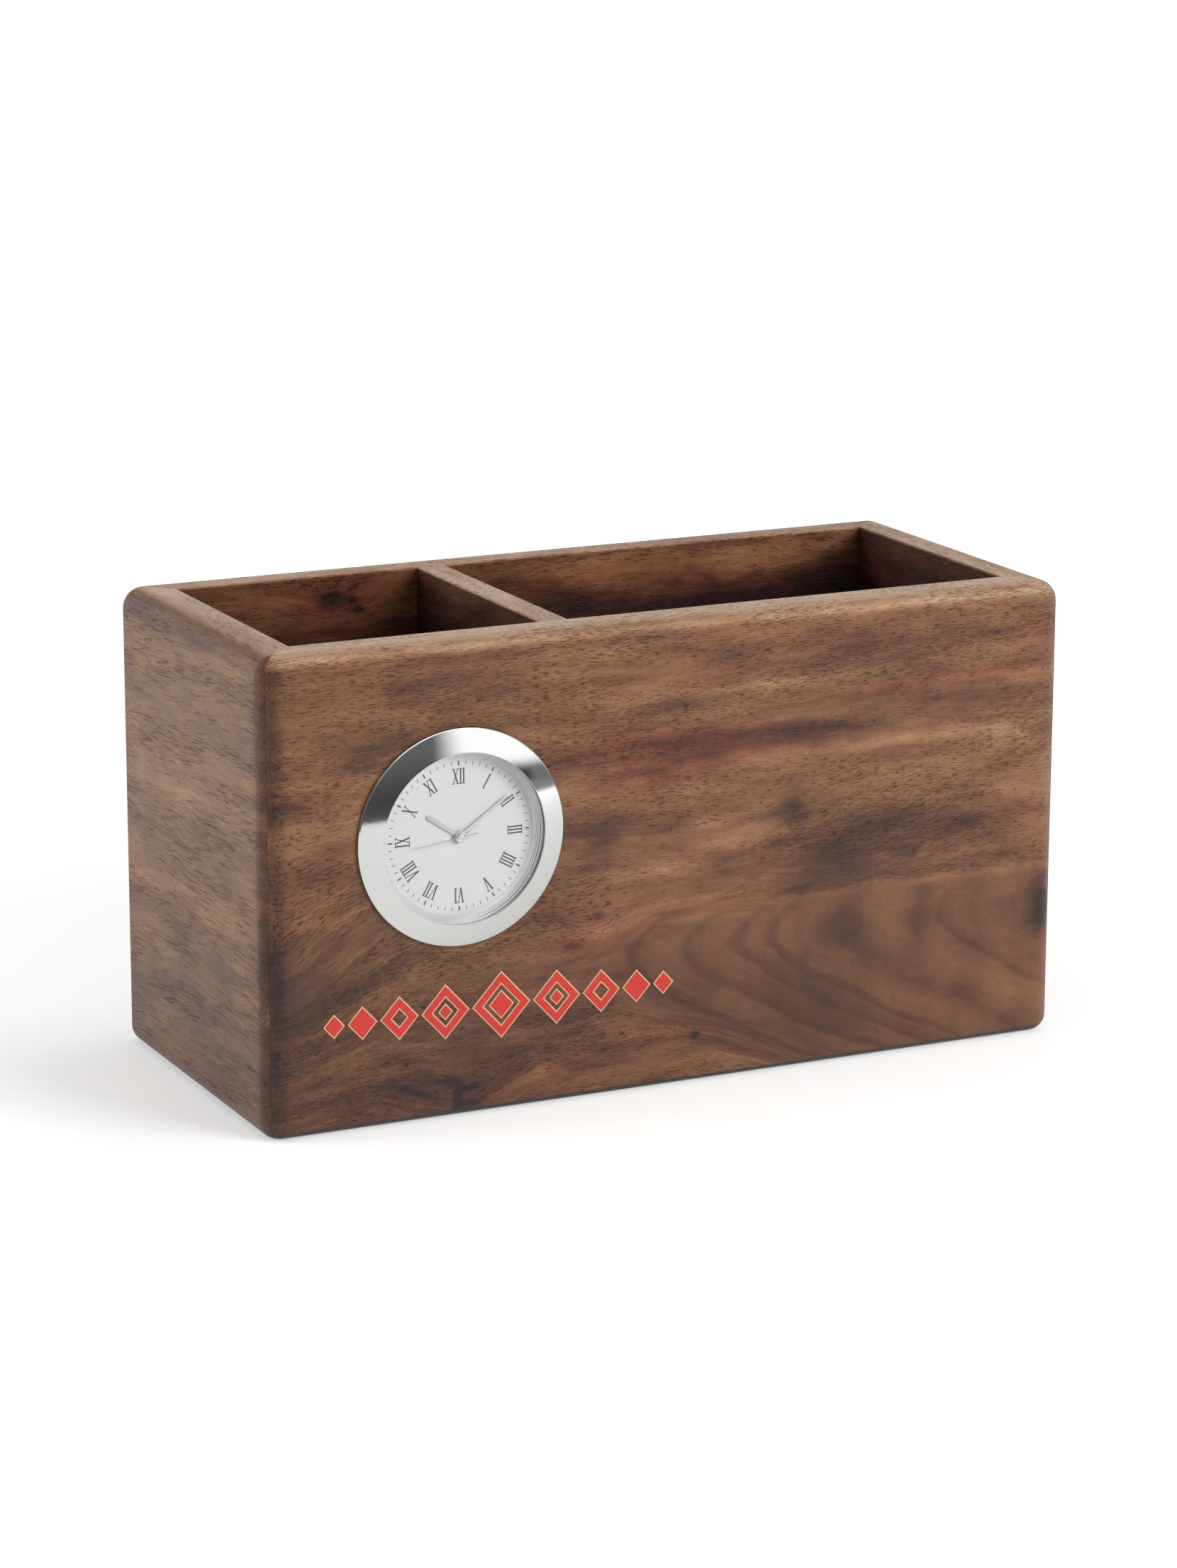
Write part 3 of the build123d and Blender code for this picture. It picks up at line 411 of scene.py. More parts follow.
def walnut(name, way, tilt=0.0, start=(0, 0, 0), knots=(), patches=(), bands=(), arches=None, tone=0.0,
           red=0.0, pores=1.0, shortness=1.0, figure=1.0, corner=LEFT_MM, patch_side=None):
    """Walnut for one board. Way names the axes that run along, across and into the board. A band changes
    the tone and the red from one place to another along an axis, in mm. Corner is where the places of
    knots and patches are counted from, and patch side keeps the patches to one face of the board."""

    def in_spot(group, from_corner, from_foot, half_length, half_height, **more):
        centre = ((corner + from_corner) * MM, from_foot * MM, 0.0)
        return use_group(tree, group, Centre=centre, Half_length=half_length * MM,
                         Half_height=half_height * MM, **more)

    material, tree, shader, place = new_finish(name)
    axes = dict(zip("xyz", parts(tree, place)))
    board = flat = vector(tree, *(axes[letter] for letter in way))
    shade, blush = tone, red
    for letter, low, high, lighter, redder in bands:
        mask = band(tree, axes[letter], low * MM, high * MM)
        shade = maths(tree, "MULTIPLY_ADD", mask, lighter, shade)
        blush = maths(tree, "MULTIPLY_ADD", mask, redder, blush)
    for *spot, lift, core in knots:
        knot = in_spot(knot_group, *spot, Board=board, Lift=lift * MM)
        board = knot["Board"]
        shade = maths(tree, "MULTIPLY_ADD", knot["Core"], core, shade)
    if arches:
        arch = use_group(tree, cathedral_group, Board=board, Axis=arches["axis"] * MM,
                         Start=(corner + arches["start"]) * MM, Top=arches["top"] * MM)
        board = arch["Board"]
        low, high = ((corner + place) * MM for place in arches["span"])
        lines = ramp(tree, band(tree, arch["Tip"], low, high, smooth=False),
                     [(spot, (light, light, light)) for spot, light in arches["lines"]])
        change = times(tree, centred(tree, lines), arch["Mask"])
        shade = maths(tree, "MULTIPLY_ADD", change, ARCH_LINES, shade)
        pores = maths(tree, "MULTIPLY_ADD", band(tree, arch["Mask"], 0.0, 0.4), ARCH_PORES, pores)
        figure = maths(tree, "MULTIPLY_ADD", arch["Mask"], ARCH_FIGURE, figure)
    if patches:
        frayed = noise(tree, flat, (75, 130, 130), detail=3, rough=0.6)
        swing = times(tree, centred(tree, frayed), FRAY)
    for *spot, lighter, redder in patches:
        mask = in_spot(patch_group, *spot, Board=flat, Swing=swing)["Mask"]
        if patch_side:
            letter, low, high = patch_side
            mask = times(tree, mask, band(tree, axes[letter], low * MM, high * MM))
        if lighter:
            shade = maths(tree, "MULTIPLY_ADD", mask, lighter, shade)
        if redder:
            blush = maths(tree, "MULTIPLY_ADD", mask, redder, blush)
    if tilt:
        turn = place_node(tree, "ShaderNodeVectorRotate", rotation_type="Z_AXIS")
        feed_all(tree, turn, Vector=board, Angle=radians(tilt))
        board = turn.outputs[0]
    timber = use_group(tree, timber_group, Board=vector_maths(tree, "ADD", board, start), Tone=shade,
                       Red=blush, Pores=pores, Shortness=shortness, Figure=figure)
    feed_all(tree, shader, Base_Color=timber["Color"], Roughness=timber["Roughness"])
    bumped(tree, shader, timber["Height"], PORE_DEPTH, 0.7)
    return material


def uneven(tree, mask, colour, shade):
    """Colour where a mask is 1, and its darker shade where it is 0."""
    return blended(tree, mask, (*(channel * shade for channel in colour), 1.0), (*colour, 1.0))


def moulded(name, colour, rough, size=3000.0, shade=0.82, metal=0.0):
    """Plain finish with a fine uneven skin: plastic, rubber, paint, ink or metal."""
    material, tree, shader, place = new_finish(name)
    skin = use_group(tree, skin_group, Place=place, Size=size, Roughness=rough)
    feed_all(tree, shader, Base_Color=uneven(tree, skin["Mask"], colour, shade),
             Roughness=skin["Roughness"], Metallic=metal)
    bumped(tree, shader, skin["Height"], SKIN_DEPTH, 0.5)
    return material


def spun(name, colour, rough, streaks, depth, metal=1.0, painted_shade_rings=()):
    """Metal turned on a lathe about the clock's axis. It gets dark rings of painted shade at given radii, in
    mm, that fade out away from the lower right, where the window's edge shades them."""
    material, tree, shader, place = new_finish(name)
    marks = use_group(tree, spun_group, Place=place, Centre=(AXIS_X, FRONT, AXIS_Z), Streaks=streaks)
    tint = uneven(tree, marks["Streak"], colour, 0.93)
    # Dark rings of painted shade where the window's edge shades the cone
    for radius, half_width in painted_shade_rings:
        apart = maths(tree, "ABSOLUTE", maths(tree, "SUBTRACT", marks["Reach"], radius * MM))
        line = band(tree, apart, half_width * MM, half_width * 0.3 * MM)
        line = times(tree, line, band(tree, marks["Lower right"], 0.55, 0.9, 0.0, 0.8))
        tint = blended(tree, line, tint, (0.05, 0.05, 0.055, 1.0))
    grooved = band(tree, marks["Groove"], 0.2, 0.8, rough * 0.7, rough * 1.3)
    feed_all(tree, shader, Base_Color=tint, Roughness=grooved, Metallic=metal)
    bumped(tree, shader, maths(tree, "MULTIPLY_ADD", marks["Groove"], 0.15, marks["Streak"]), depth, 0.5)
    return material


def clear_glass(name):
    """Window glass. Shadow rays pass it straight, so that the lamps light the dial behind it."""
    material, tree, shader, place = new_finish(name)
    smear = noise(tree, place, 260.0, detail=3)
    feed_all(tree, shader, Base_Color=(0.985, 0.992, 0.99, 1.0), IOR=1.47, Transmission_Weight=1.0,
             Roughness=band(tree, smear, 0.35, 0.75, 0.0, 0.015))
    shadow_ray = place_node(tree, "ShaderNodeLightPath").outputs["Is Shadow Ray"]
    open_way = place_node(tree, "ShaderNodeBsdfTransparent").outputs[0]
    mixed_surface(tree, shadow_ray, shader.outputs[0], open_way)
    return material


# Knots, in mm: place from the board's corner, place from the foot, half length, half height, lift of the
# grain, and tone of the core. Patches: the same four, tone, and red.
front_knots = (
    (80, 40, 8, 5, 2.4, 0.02),
    (47, 3, 15, 12, 6, -0.04),
    (118, 60, 16, 6, 2.5, 0),
    (-4, 34, 25, 24, 17, 0),
)
front_patches = (
    (90, 80, 13, 4.5, 0.04, 1),
    (105, 79, 15, 4.2, -0.28, 1),
    (128, 80, 14, 3, -0.24, 0.6),
    (172, 89.5, 24, 1.8, 0.06, 0.8),
    (182, 85.5, 18, 2, -0.2, 0.2),
    (187, 74.5, 9, 2.4, 0.2, 0),
    (118, 92.8, 22, 1, 0.2, 0),
    (150, 76, 30, 1, 0.12, 0),
    (82, 59.5, 4.5, 3.5, -0.24, 0.1),
    (75, 63, 6, 2, -0.12, 0),
    (111, 63, 8, 2, 0.28, 0.15),
    (114, 57, 9, 2.2, 0.26, 0.15),
    (98, 52.5, 9, 1.8, 0.26, 0.05),
    (131, 63, 3.6, 4.5, -0.34, 0),
    (158, 57, 13, 3.2, -0.22, 0),
    (176, 54.5, 5, 3, -0.22, 0),
    (140, 52, 8, 3, -0.18, 0),
    (150, 47, 14, 3.6, -0.28, 0),
    (168, 41.8, 26, 0.9, 0.16, 0),
    (79, 40.5, 9, 4.5, 0.04, 0.6),
    (81.5, 39.5, 3.5, 2.2, 0.16, 0),
    (74.5, 36.8, 2.4, 1, -0.3, 0.3),
    (81, 43, 1.6, 1.2, -0.25, 0.2),
    (199, 33, 4, 6, -0.55, -0.2),
    (146, 33, 4.5, 6.5, -0.16, 0),
    (165, 33, 3, 6.5, -0.12, 0),
    (106, 12, 1, 0.6, -0.6, -0.2),
    (132, 24, 34, 13, -0.06, 0),
    (46.2, 4.5, 0.9, 3, -0.5, 0),
    (44.8, 9, 1.8, 1, -0.3, 0),
    (48.8, 7, 1.8, 0.8, -0.3, 0),
    (49.5, 2.5, 2.6, 1.3, -0.35, 0),
    (38, 9, 6, 4, -0.1, 0),
    (78, 4, 26, 2.2, 0.1, 0.1),
    (78, 13, 26, 6, 0.07, 0.1),
    (36, 8, 28, 7.5, -0.11, 0),
    (158, 81, 27, 7, -0.16, 0),
    (96, 46, 38, 6, -0.11, 0),
    (166, 38, 18, 13, -0.07, 0),
    (10, 64, 9, 9, -0.15, 0),
    (27, 84, 10, 6, -0.08, 0),
    (84, 34, 17, 3, 0.09, 0),
    (188, 10, 14, 8, 0.06, 0),
    (56, 14, 6, 3.5, -0.08, 0.1),
    (26, 12, 7, 6, -0.12, 0),
    (12, 22, 12, 14, -0.1, 0),
    (12, 50, 10, 3, 0.12, 0),
    (28, 44, 12, 2.5, -0.08, 0),
    # Painted shade on the rounding of the front-left corner, partly darker end grain
    (2, 50, 3, 60, -0.26, 0.2),
)
# Arches, in mm: height of their axis, where they start and how high they reach. Lines gives the grain's
# lightness at shares of the span.
front_arches = {
    "axis": 33, "start": 98, "top": 46, "span": (80, 180),
    "lines": (
        (0, 0.5), (0.06, 0.5), (0.085, 0.26), (0.11, 0.46), (0.21, 0.52), (0.24, 0.36), (0.27, 0.47),
        (0.34, 0.52), (0.36, 0.38), (0.39, 0.47), (0.43, 0.5), (0.45, 0.37), (0.49, 0.5), (0.56, 0.5),
        (0.64, 0.36), (0.7, 0.47), (0.78, 0.56), (0.86, 0.52), (0.88, 0.4), (0.92, 0.5), (1, 0.5),
    ),
}
side_patches = (
    (40, 59, 9, 3.5, -0.1, -0.2),
    (25, 54, 8, 3, -0.12, -0.2),
    (49, 34, 9, 4, -0.12, -0.2),
    (25, 34, 7, 3, -0.1, -0.2),
    (60, 20, 7, 4, -0.1, -0.2),
    (76, 88, 10, 2.5, -0.1, -0.2),
    (46, 79, 12, 4, 0.1, 0),
    (21, 47, 9, 3.5, 0.08, 0),
    (67, 31, 9, 3.5, 0.08, 0),
    (33, 8, 14, 4, -0.05, 0.4),
    # Painted shade on the rounding of the front-left corner, partly darker end grain
    (2, 50, 3, 60, -0.26, 0.2),
    # Painted shade along the left board's top rounding
    (45, 106, 60, 2, -0.18, 0.3),
)
back_knots = ((50, 103.5, 10, 5, 3.5, -0.12),)
back_patches = (
    (49.5, 104.5, 2.6, 1.9, -0.6, -0.2),
    (55, 103.5, 1.2, 0.8, -0.5, 0),
    (56, 101, 1.3, 0.8, -0.5, 0),
    (52, 102.5, 9, 4.5, 0, 0.9),
    # Painted shadow of the front board's top edge, cast on the back wall of the large compartment
    (145, 95.5, 80, 4.2, -0.3, 0.2),
    (145, 86, 80, 6.5, -0.34, 0.2),
    # Painted light on that wall above the shadow's edge
    (140, 106, 60, 3.5, 0.24, -0.3),
)
# Bands: axis, from, to, tone, red. INNER is where a board's inner face begins and is reached, from its
# outer face.
# Rim band: the top faces and the top of their rounding are lighter, a painted highlight where light from
# above falls
lit_rim = ("z", TOP_MM - 0.7, TOP_MM - 0.1, 0.32, 0.1)
# Brow band: a pale stripe along the front's top rounding, a painted sheen
brow_sheen = ("z", TOP_MM - 3.6, TOP_MM - 1.6, 0.40, 0.0)
# Foot band: the front and left boards are darker towards the bottom, painted shade where less light reaches
foot = ("z", 60, 8, -0.14, 0.0)
# Edge band: the lowest 2 mm of the four side boards are near black, a painted contact shadow where the box
# meets the floor
edge = ("z", 2.0, 1.0, -0.9, 0.0)
INNER = (10.6, 10.9)
front_inside = ("y", FRONT_MM + INNER[0], FRONT_MM + INNER[1])
back_inside = ("y", BACK_MM - INNER[0], BACK_MM - INNER[1])
left_inside = ("x", LEFT_MM + INNER[0], LEFT_MM + INNER[1])
right_inside = ("x", RIGHT_MM - INNER[0], RIGHT_MM - INNER[1])
below_rim = ("z", TOP_MM, TOP_MM - 0.8)
# The inner-face bands, and the divider's band below its rim, make the compartments darker and redder: painted
# shade
finishes = {
    "front_board": walnut("walnut_front", "xzy", tilt=-2.0, start=(0.31, 0.02, 0.4), knots=front_knots,
                          patches=front_patches, bands=(lit_rim, foot, brow_sheen, edge, (*front_inside, -0.35, 0.1)),
                          arches=front_arches),
    "back_board": walnut("walnut_back", "xzy", start=(1.7, 0.11, 0.8), knots=back_knots,
                         patches=back_patches, bands=(lit_rim, edge, (*back_inside, -0.13, 0.3)), red=0.12,
                         patch_side=back_inside),
    "left_board": walnut("walnut_left", "yzx", start=(2.3, 0.3, 0.1), tilt=2.8, patches=side_patches,
                         bands=(lit_rim, foot, edge, (*left_inside, -0.28, 0.1)), corner=FRONT_MM,
                         pores=0.9, shortness=0.36, tone=0.02, figure=0.85),
    "right_board": walnut("walnut_right", "yzx", start=(3.1, 0.42, 0.6), tilt=-2.0,
                          bands=(lit_rim, edge, (*right_inside, -0.37, 0.3)), shortness=0.6),
    "divider": walnut("walnut_divider", "yzx", start=(4.4, 0.2, 0.9), bands=(lit_rim, (*below_rim, -0.38, 0.3))),
    "bottom_panel": walnut("walnut_bottom", "xyz", start=(5.2, 0.7, 0.2), tone=-0.2),
}

finishes.update({
    "decal_outline": moulded("cream_print", (0.92, 0.58, 0.34), 0.5, size=2500.0, shade=0.9),
    "decal_fill": moulded("red_print", (0.74, 0.048, 0.037), 0.42, size=2500.0, shade=0.86),
    "lens_gasket": moulded("clear_gasket", (0.80, 0.81, 0.81), 0.3, size=4000.0),
    "case": moulded("case_plastic", (0.022, 0.022, 0.024), 0.42, size=4500.0, shade=0.6),
    "battery_door": moulded("door_plastic", (0.026, 0.026, 0.028), 0.38, size=4500.0, shade=0.6),
    "grip_ring": moulded("ring_rubber", (0.030, 0.030, 0.031), 0.75, size=5200.0, shade=0.6),
    "main_plate": moulded("plate_plastic", (0.055, 0.055, 0.060), 0.5),
    "train_bridge": moulded("bridge_plastic", (0.070, 0.070, 0.075), 0.5),
    "set_knob": moulded("knob_plastic", (0.035, 0.035, 0.037), 0.4, shade=0.6),
    "plate_screws": moulded("screw_steel", (0.62, 0.62, 0.61), 0.3, metal=1.0),
    "stator": moulded("motor_steel", (0.50, 0.50, 0.52), 0.35, metal=1.0),
    "button_cell": moulded("cell_steel", (0.66, 0.66, 0.65), 0.22, metal=1.0, shade=0.9),
    "rotor_magnet": moulded("magnet_grey", (0.16, 0.16, 0.17), 0.45, metal=0.6),
    "coil_winding": moulded("coil_copper", (0.62, 0.26, 0.13), 0.35, metal=1.0, size=9000.0, shade=0.6),
    "circuit_board": moulded("board_green", (0.020, 0.115, 0.050), 0.4, shade=0.7),
    "driver_chip": moulded("chip_black", (0.020, 0.020, 0.021), 0.55),
    "cannon_pinion": moulded("pinion_brass", (0.72, 0.50, 0.22), 0.28, metal=1.0),
    "seconds_wheel": moulded("wheel_plastic", (0.74, 0.74, 0.70), 0.45),
})
same_finish = {
    "bridge_screws": "plate_screws", "coil_screws": "plate_screws", "coil_core": "stator",
    "quartz_crystal": "button_cell", "positive_contact": "cannon_pinion", "negative_contact": "cannon_pinion",
}
wheels = ("third_wheel", "centre_wheel", "intermediate_wheel", "rotor_pinion", "minute_wheel", "hour_wheel",
          "set_pinion")
same_finish.update({wheel: "seconds_wheel" for wheel in wheels})
for node, like in same_finish.items():
    finishes[node] = finishes[like]

ring_finish = spun("polished_ring", (0.70, 0.715, 0.70), 0.08, 70.0, POLISH_DEPTH)
# The silver cone's dark rings are painted shade under the window's edge
cone_finish = spun("silver_cone", (0.92, 0.93, 0.93), 0.36, 25.0, SPUN_DEPTH, metal=0.5,
                   painted_shade_rings=((19.3, 0.16), (18.85, 0.09), (18.5, 0.05)))
dial_finish = moulded("dial_white", (0.93, 0.93, 0.925), 0.45, size=2200.0, shade=0.975)
numeral_ink = moulded("numeral_ink", (0.030, 0.032, 0.035), 0.45, size=4000.0)
minute_ink = moulded("minute_ink", (0.11, 0.115, 0.12), 0.45, size=4000.0)
hand_finish = moulded("hand_silver", (0.74, 0.74, 0.74), 0.2, size=2600.0, metal=1.0, shade=0.9)
hour_finish = moulded("hour_hand_silver", (0.70, 0.70, 0.71), 0.5, size=2600.0, shade=0.95)
second_finish = moulded("second_hand_grey", (0.55, 0.55, 0.56), 0.5, size=2600.0, shade=0.95)
glass_finish = clear_glass("window_glass")

# --- Shapes ---

EASE_STEPS, TURN_STEPS, HUB_STEPS = 5, 256, 64


def face_points(right, up, depth):
    """Points in the row's frame from places in mm on the clock's face."""
    right, up, depth = np.broadcast_arrays(right, up, depth)
    return np.stack([AXIS_X + right * MM, FRONT + depth * MM, AXIS_Z + up * MM], axis=-1)


def make_piece(name, points, faces, body, slot, finish, smooth_angle=40):
    """Mesh piece from points and faces, with faces turned outwards and edges sharp past an angle."""
    mesh = bpy.data.meshes.new(name)
    mesh.from_pydata(np.asarray(points, float).reshape(-1, 3).tolist(), [], faces)
    solid = bmesh.new()
    solid.from_mesh(mesh)
    bmesh.ops.remove_doubles(solid, verts=solid.verts, dist=1e-7)
    bmesh.ops.recalc_face_normals(solid, faces=solid.faces)
    solid.to_mesh(mesh)
    solid.free()
    mesh.shade_smooth()
    mesh.set_sharp_from_angle(angle=radians(smooth_angle))
    mesh.materials.append(finish)
    piece = linked(name, mesh)
    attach(piece, body)
    return piece


def grid_faces(rows, columns, close_rows=False):
    """Four-sided faces of a grid whose points are numbered row by row. Each row is a closed ring."""
    rings = np.arange(rows if close_rows else rows - 1)
    row, column = (a.ravel() for a in np.meshgrid(rings, np.arange(columns), indexing="ij"))
    next_row, next_column = (row + 1) % rows, (column + 1) % columns
    corners = (row * columns + column, next_row * columns + column,
               next_row * columns + next_column, row * columns + next_column)
    return np.stack(corners, axis=-1).tolist()


def eased(corners, ease, closed=True):
    """Rounds the corners of an outline: each corner becomes a curve that starts and ends on its two
    sides at the ease distance, weighted (1-t)^2 start, 2t(1-t) corner and t^2 end."""
    corners = np.asarray(corners, float)
    before, after = np.roll(corners, 1, axis=0), np.roll(corners, -1, axis=0)
    step_back, step_on = before - corners, after - corners
    length_back = np.linalg.norm(step_back, axis=1, keepdims=True)
    length_on = np.linalg.norm(step_on, axis=1, keepdims=True)
    start = corners + step_back / length_back * np.minimum(ease, 0.45 * length_back)
    end = corners + step_on / length_on * np.minimum(ease, 0.45 * length_on)
    share = np.linspace(0, 1, EASE_STEPS)[None, :, None]
    curve = ((1 - share) ** 2 * start[:, None] + 2 * share * (1 - share) * corners[:, None]
             + share ** 2 * end[:, None])
    if not closed:
        curve = [corners[:1], *curve[1:-1], corners[-1:]]
    return np.concatenate(list(curve))


def turned(outline, steps=TURN_STEPS, closed=True):
    """Points and faces of an outline turned about the clock's axis: its radius r and depth go round the
    angle a as right = r sin a, up = r cos a."""
    outline = np.asarray(outline, float)
    angle = np.linspace(0, FULL_TURN, steps, endpoint=False)[None, :]
    radius, depth = outline[:, :1], outline[:, 1:]
    points = face_points(radius * np.sin(angle), radius * np.cos(angle), depth)
    return points, grid_faces(len(outline), steps, close_rows=closed)


def joined(shells):
    """Points and faces of several closed shells as one mesh."""
    points, faces, start = [], [], 0
    for shell_points, shell_faces in shells:
        shell_points = np.asarray(shell_points, float).reshape(-1, 3)
        points.append(shell_points)
        faces += [[start + corner for corner in face] for face in shell_faces]
        start += len(shell_points)
    return np.concatenate(points), faces


def smoothed(node, finish):
    """Copy of a CAD node with its loose triangles merged and its roundings shaded smooth."""
    mesh = nodes[node].data.copy()
    mesh.name = node + "_skin"
    solid = bmesh.new()
    solid.from_mesh(mesh)
    bmesh.ops.remove_doubles(solid, verts=solid.verts, dist=2e-6)
    bmesh.ops.dissolve_degenerate(solid, edges=solid.edges, dist=1e-7)
    solid.to_mesh(mesh)
    solid.free()
    mesh.materials.clear()
    mesh.materials.append(finish)
    mesh.shade_smooth()
    mesh.set_sharp_from_angle(angle=radians(35))
    piece = linked(node + "_skin", mesh)
    piece.modifiers.new("even_shading", "WEIGHTED_NORMAL").keep_sharp = True
    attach(piece, body_of[node])
    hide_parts(node)


rounded_nodes = ("front_board", "back_board", "left_board", "right_board", "divider", "case", "grip_ring",
                 "battery_door", "set_knob", "button_cell")
for node, finish in finishes.items():
    if node in rounded_nodes:
        smoothed(node, finish)
    else:
        cad_mesh = nodes[node].data
        cad_mesh.materials.clear()
        cad_mesh.materials.append(finish)

# Bezel ring: a polished cone that rises to the window
case_radius, bezel_radius, lens_radius = radius_of("case"), radius_of("bezel"), radius_of("lens")
cone_radius, dial_radius = radius_of("reflector_ring"), radius_of("dial")
bezel_back = depth_of("bezel", 1)
lens_front, lens_back = depth_of("lens"), depth_of("lens", 1)
cone_front = depth_of("reflector_ring")
dial_front, dial_back = depth_of("dial"), depth_of("dial", 1)
opening_radius = 19.65
seat_radius, seat_back = lens_radius + 0.1, -0.4
lip_back = -2.0
neck_radius = 20.72
rim_front, rim_back, rim_ease = -0.95, -0.05, 0.2
bezel_outline = [
    (opening_radius, depth_of("bezel")),
    (bezel_radius - rim_ease, rim_front),
    (bezel_radius, rim_front + rim_ease),
    (bezel_radius, rim_back),
    (case_radius, rim_back),
    (case_radius, bezel_back),
    (neck_radius, bezel_back),
    (neck_radius, seat_back),
    (seat_radius, seat_back),
    (seat_radius, lip_back),
    (opening_radius, lip_back),
]
bezel_shell = turned(eased(bezel_outline, 0.09))
bezel_ring = make_piece("bezel_ring", *bezel_shell, "insert", "polished_ring", ring_finish, 60)
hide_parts("bezel")

# Window: flat face, ground bevel and a flange under the lip
bevel_radius = 19.4
window_outline = [
    (0.0, lens_front),
    (bevel_radius - 0.12, lens_front),
    (bevel_radius, lens_front + 0.12),
    (lens_radius, lens_front + 0.25),
    (lens_radius, lens_back),
    (0.0, lens_back),
]
window_shell = turned(eased(window_outline, 0.04, closed=False), closed=False)
window = make_piece("window", *window_shell, "insert", "window_glass", glass_finish, 25)
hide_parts("lens")

# Silver cone from the window down to the dial
dial_opening = 17.85
cone_outline = [
    (cone_radius - 0.25, cone_front),
    (cone_radius, cone_front),
    (cone_radius, dial_front),
    (dial_opening, dial_front),
    (dial_opening + 0.1, dial_front - 0.25),
]
cone_shell = turned(eased(cone_outline, 0.03))
cone = make_piece("dial_cone", *cone_shell, "insert", "silver_cone", cone_finish, 30)
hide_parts("reflector_ring")

# Dial disc
hole_radius = 1.1
dial_outline = [
    (hole_radius, dial_front),
    (dial_radius, dial_front),
    (dial_radius, dial_back),
    (hole_radius, dial_back),
]
dial_shell = turned(eased(dial_outline, 0.03))
dial_disc = make_piece("dial_disc", *dial_shell, "insert", "dial_white", dial_finish, 30)
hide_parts("dial")

# Dial print: every stroke is a thin flat bar on the dial. Its places are radii in mm under twelve.
PRINT_THICKNESS = 0.012
NUMERAL_FOOT, NUMERAL_TOP = 11.8, 15.3
STEM, HAIR, SERIF = 0.33, 0.19, 0.17
SLANT = 0.55
LETTER_WIDTHS = {"I": 0.72, "V": 1.75, "X": 1.70}
HOUR_TICK, MINUTE_TICK = (0, 16.0, 0, 17.05, 0.32), (0, 16.2, 0, 17.0, 0.17)


def serif(left, right, at_top, reach):
    level = NUMERAL_TOP - SERIF / 2 if at_top else NUMERAL_FOOT + SERIF / 2
    return (left - reach, level, right + reach, level, SERIF)


def numeral_strokes(letters):
    """Strokes of a Roman numeral as rows of x, y, x, y, width. Neighbouring stems share their serifs."""
    foot, top = NUMERAL_FOOT, NUMERAL_TOP
    at = -sum(LETTER_WIDTHS[letter] for letter in letters) / 2
    strokes, run = [], []

    def close_run():
        if run:
            strokes.extend(serif(run[0], run[-1], at_top, 0.33) for at_top in (False, True))
            run.clear()

    for letter in letters:
        middle = at + LETTER_WIDTHS[letter] / 2
        left, right = middle - SLANT, middle + SLANT
        if letter == "I":
            strokes.append((middle, foot, middle, top, STEM))
            run.append(middle)
        else:
            close_run()
            thick_foot, thin_foot = (middle, middle) if letter == "V" else (right, left)
            strokes.append((left, top, thick_foot, foot, STEM))
            strokes.append((right, top, thin_foot, foot, HAIR))
            for x in (left, right):
                for at_top in (True,) if letter == "V" else (False, True):
                    strokes.append(serif(x, x, at_top, 0.32))
        at += LETTER_WIDTHS[letter]
    close_run()
    return strokes


def clockwise(right, up, angle):
    """Places turned clockwise about the clock's axis."""
    c, s = cos(angle), sin(angle)
    return right * c + up * s, -right * s + up * c


def turned_strokes(strokes, angle):
    """Strokes drawn under twelve, turned clockwise."""
    turned_places = np.array(strokes, float)
    for column in (0, 2):
        x, y = turned_places[:, column].copy(), turned_places[:, column + 1].copy()
        turned_places[:, column], turned_places[:, column + 1] = clockwise(x, y, angle)
    return turned_places


def bars(strokes, front, back):
    """Flat bars along the strokes: corners are the ends moved sideways by half the width, at two depths."""
    strokes = np.asarray(strokes, float)
    start, end, width = strokes[:, 0:2], strokes[:, 2:4], strokes[:, 4:5]
    run = end - start
    side = np.stack([-run[:, 1], run[:, 0]], axis=1) / np.linalg.norm(run, axis=1, keepdims=True) * width / 2
    flat = np.stack([start - side, end - side, end + side, start + side], axis=1)
    points = np.concatenate(
        [face_points(flat[..., 0], flat[..., 1], depth) for depth in (back, front)], axis=1
    )
    cube = np.array([(0, 1, 2, 3), (4, 5, 6, 7), (0, 1, 5, 4), (1, 2, 6, 5), (2, 3, 7, 6), (3, 0, 4, 7)])
    faces = (np.arange(len(strokes))[:, None, None] * 8 + cube[None]).reshape(-1, 4)
    return points.reshape(-1, 3), faces.tolist()


numerals = ["XII", "I", "II", "III", "IIII", "V", "VI", "VII", "VIII", "IX", "X", "XI"]
numeral_rows = np.concatenate([
    turned_strokes(numeral_strokes(letters), FULL_TURN * hour / 12) for hour, letters in enumerate(numerals)
])
hour_rows = [turned_strokes([HOUR_TICK], FULL_TURN * hour / 12) for hour in range(12)]
minute_rows = [turned_strokes([MINUTE_TICK], FULL_TURN * minute / 60) for minute in range(60) if minute % 5]
print_depths = dial_front - PRINT_THICKNESS, dial_front + PRINT_THICKNESS
dark_print = bars(np.concatenate([numeral_rows, *hour_rows]), *print_depths)
make_piece("dial_numerals", *dark_print, "insert", "black_plastic", numeral_ink)
minute_print = bars(np.concatenate(minute_rows), *print_depths)
make_piece("dial_minutes", *minute_print, "insert", "black_plastic", minute_ink)


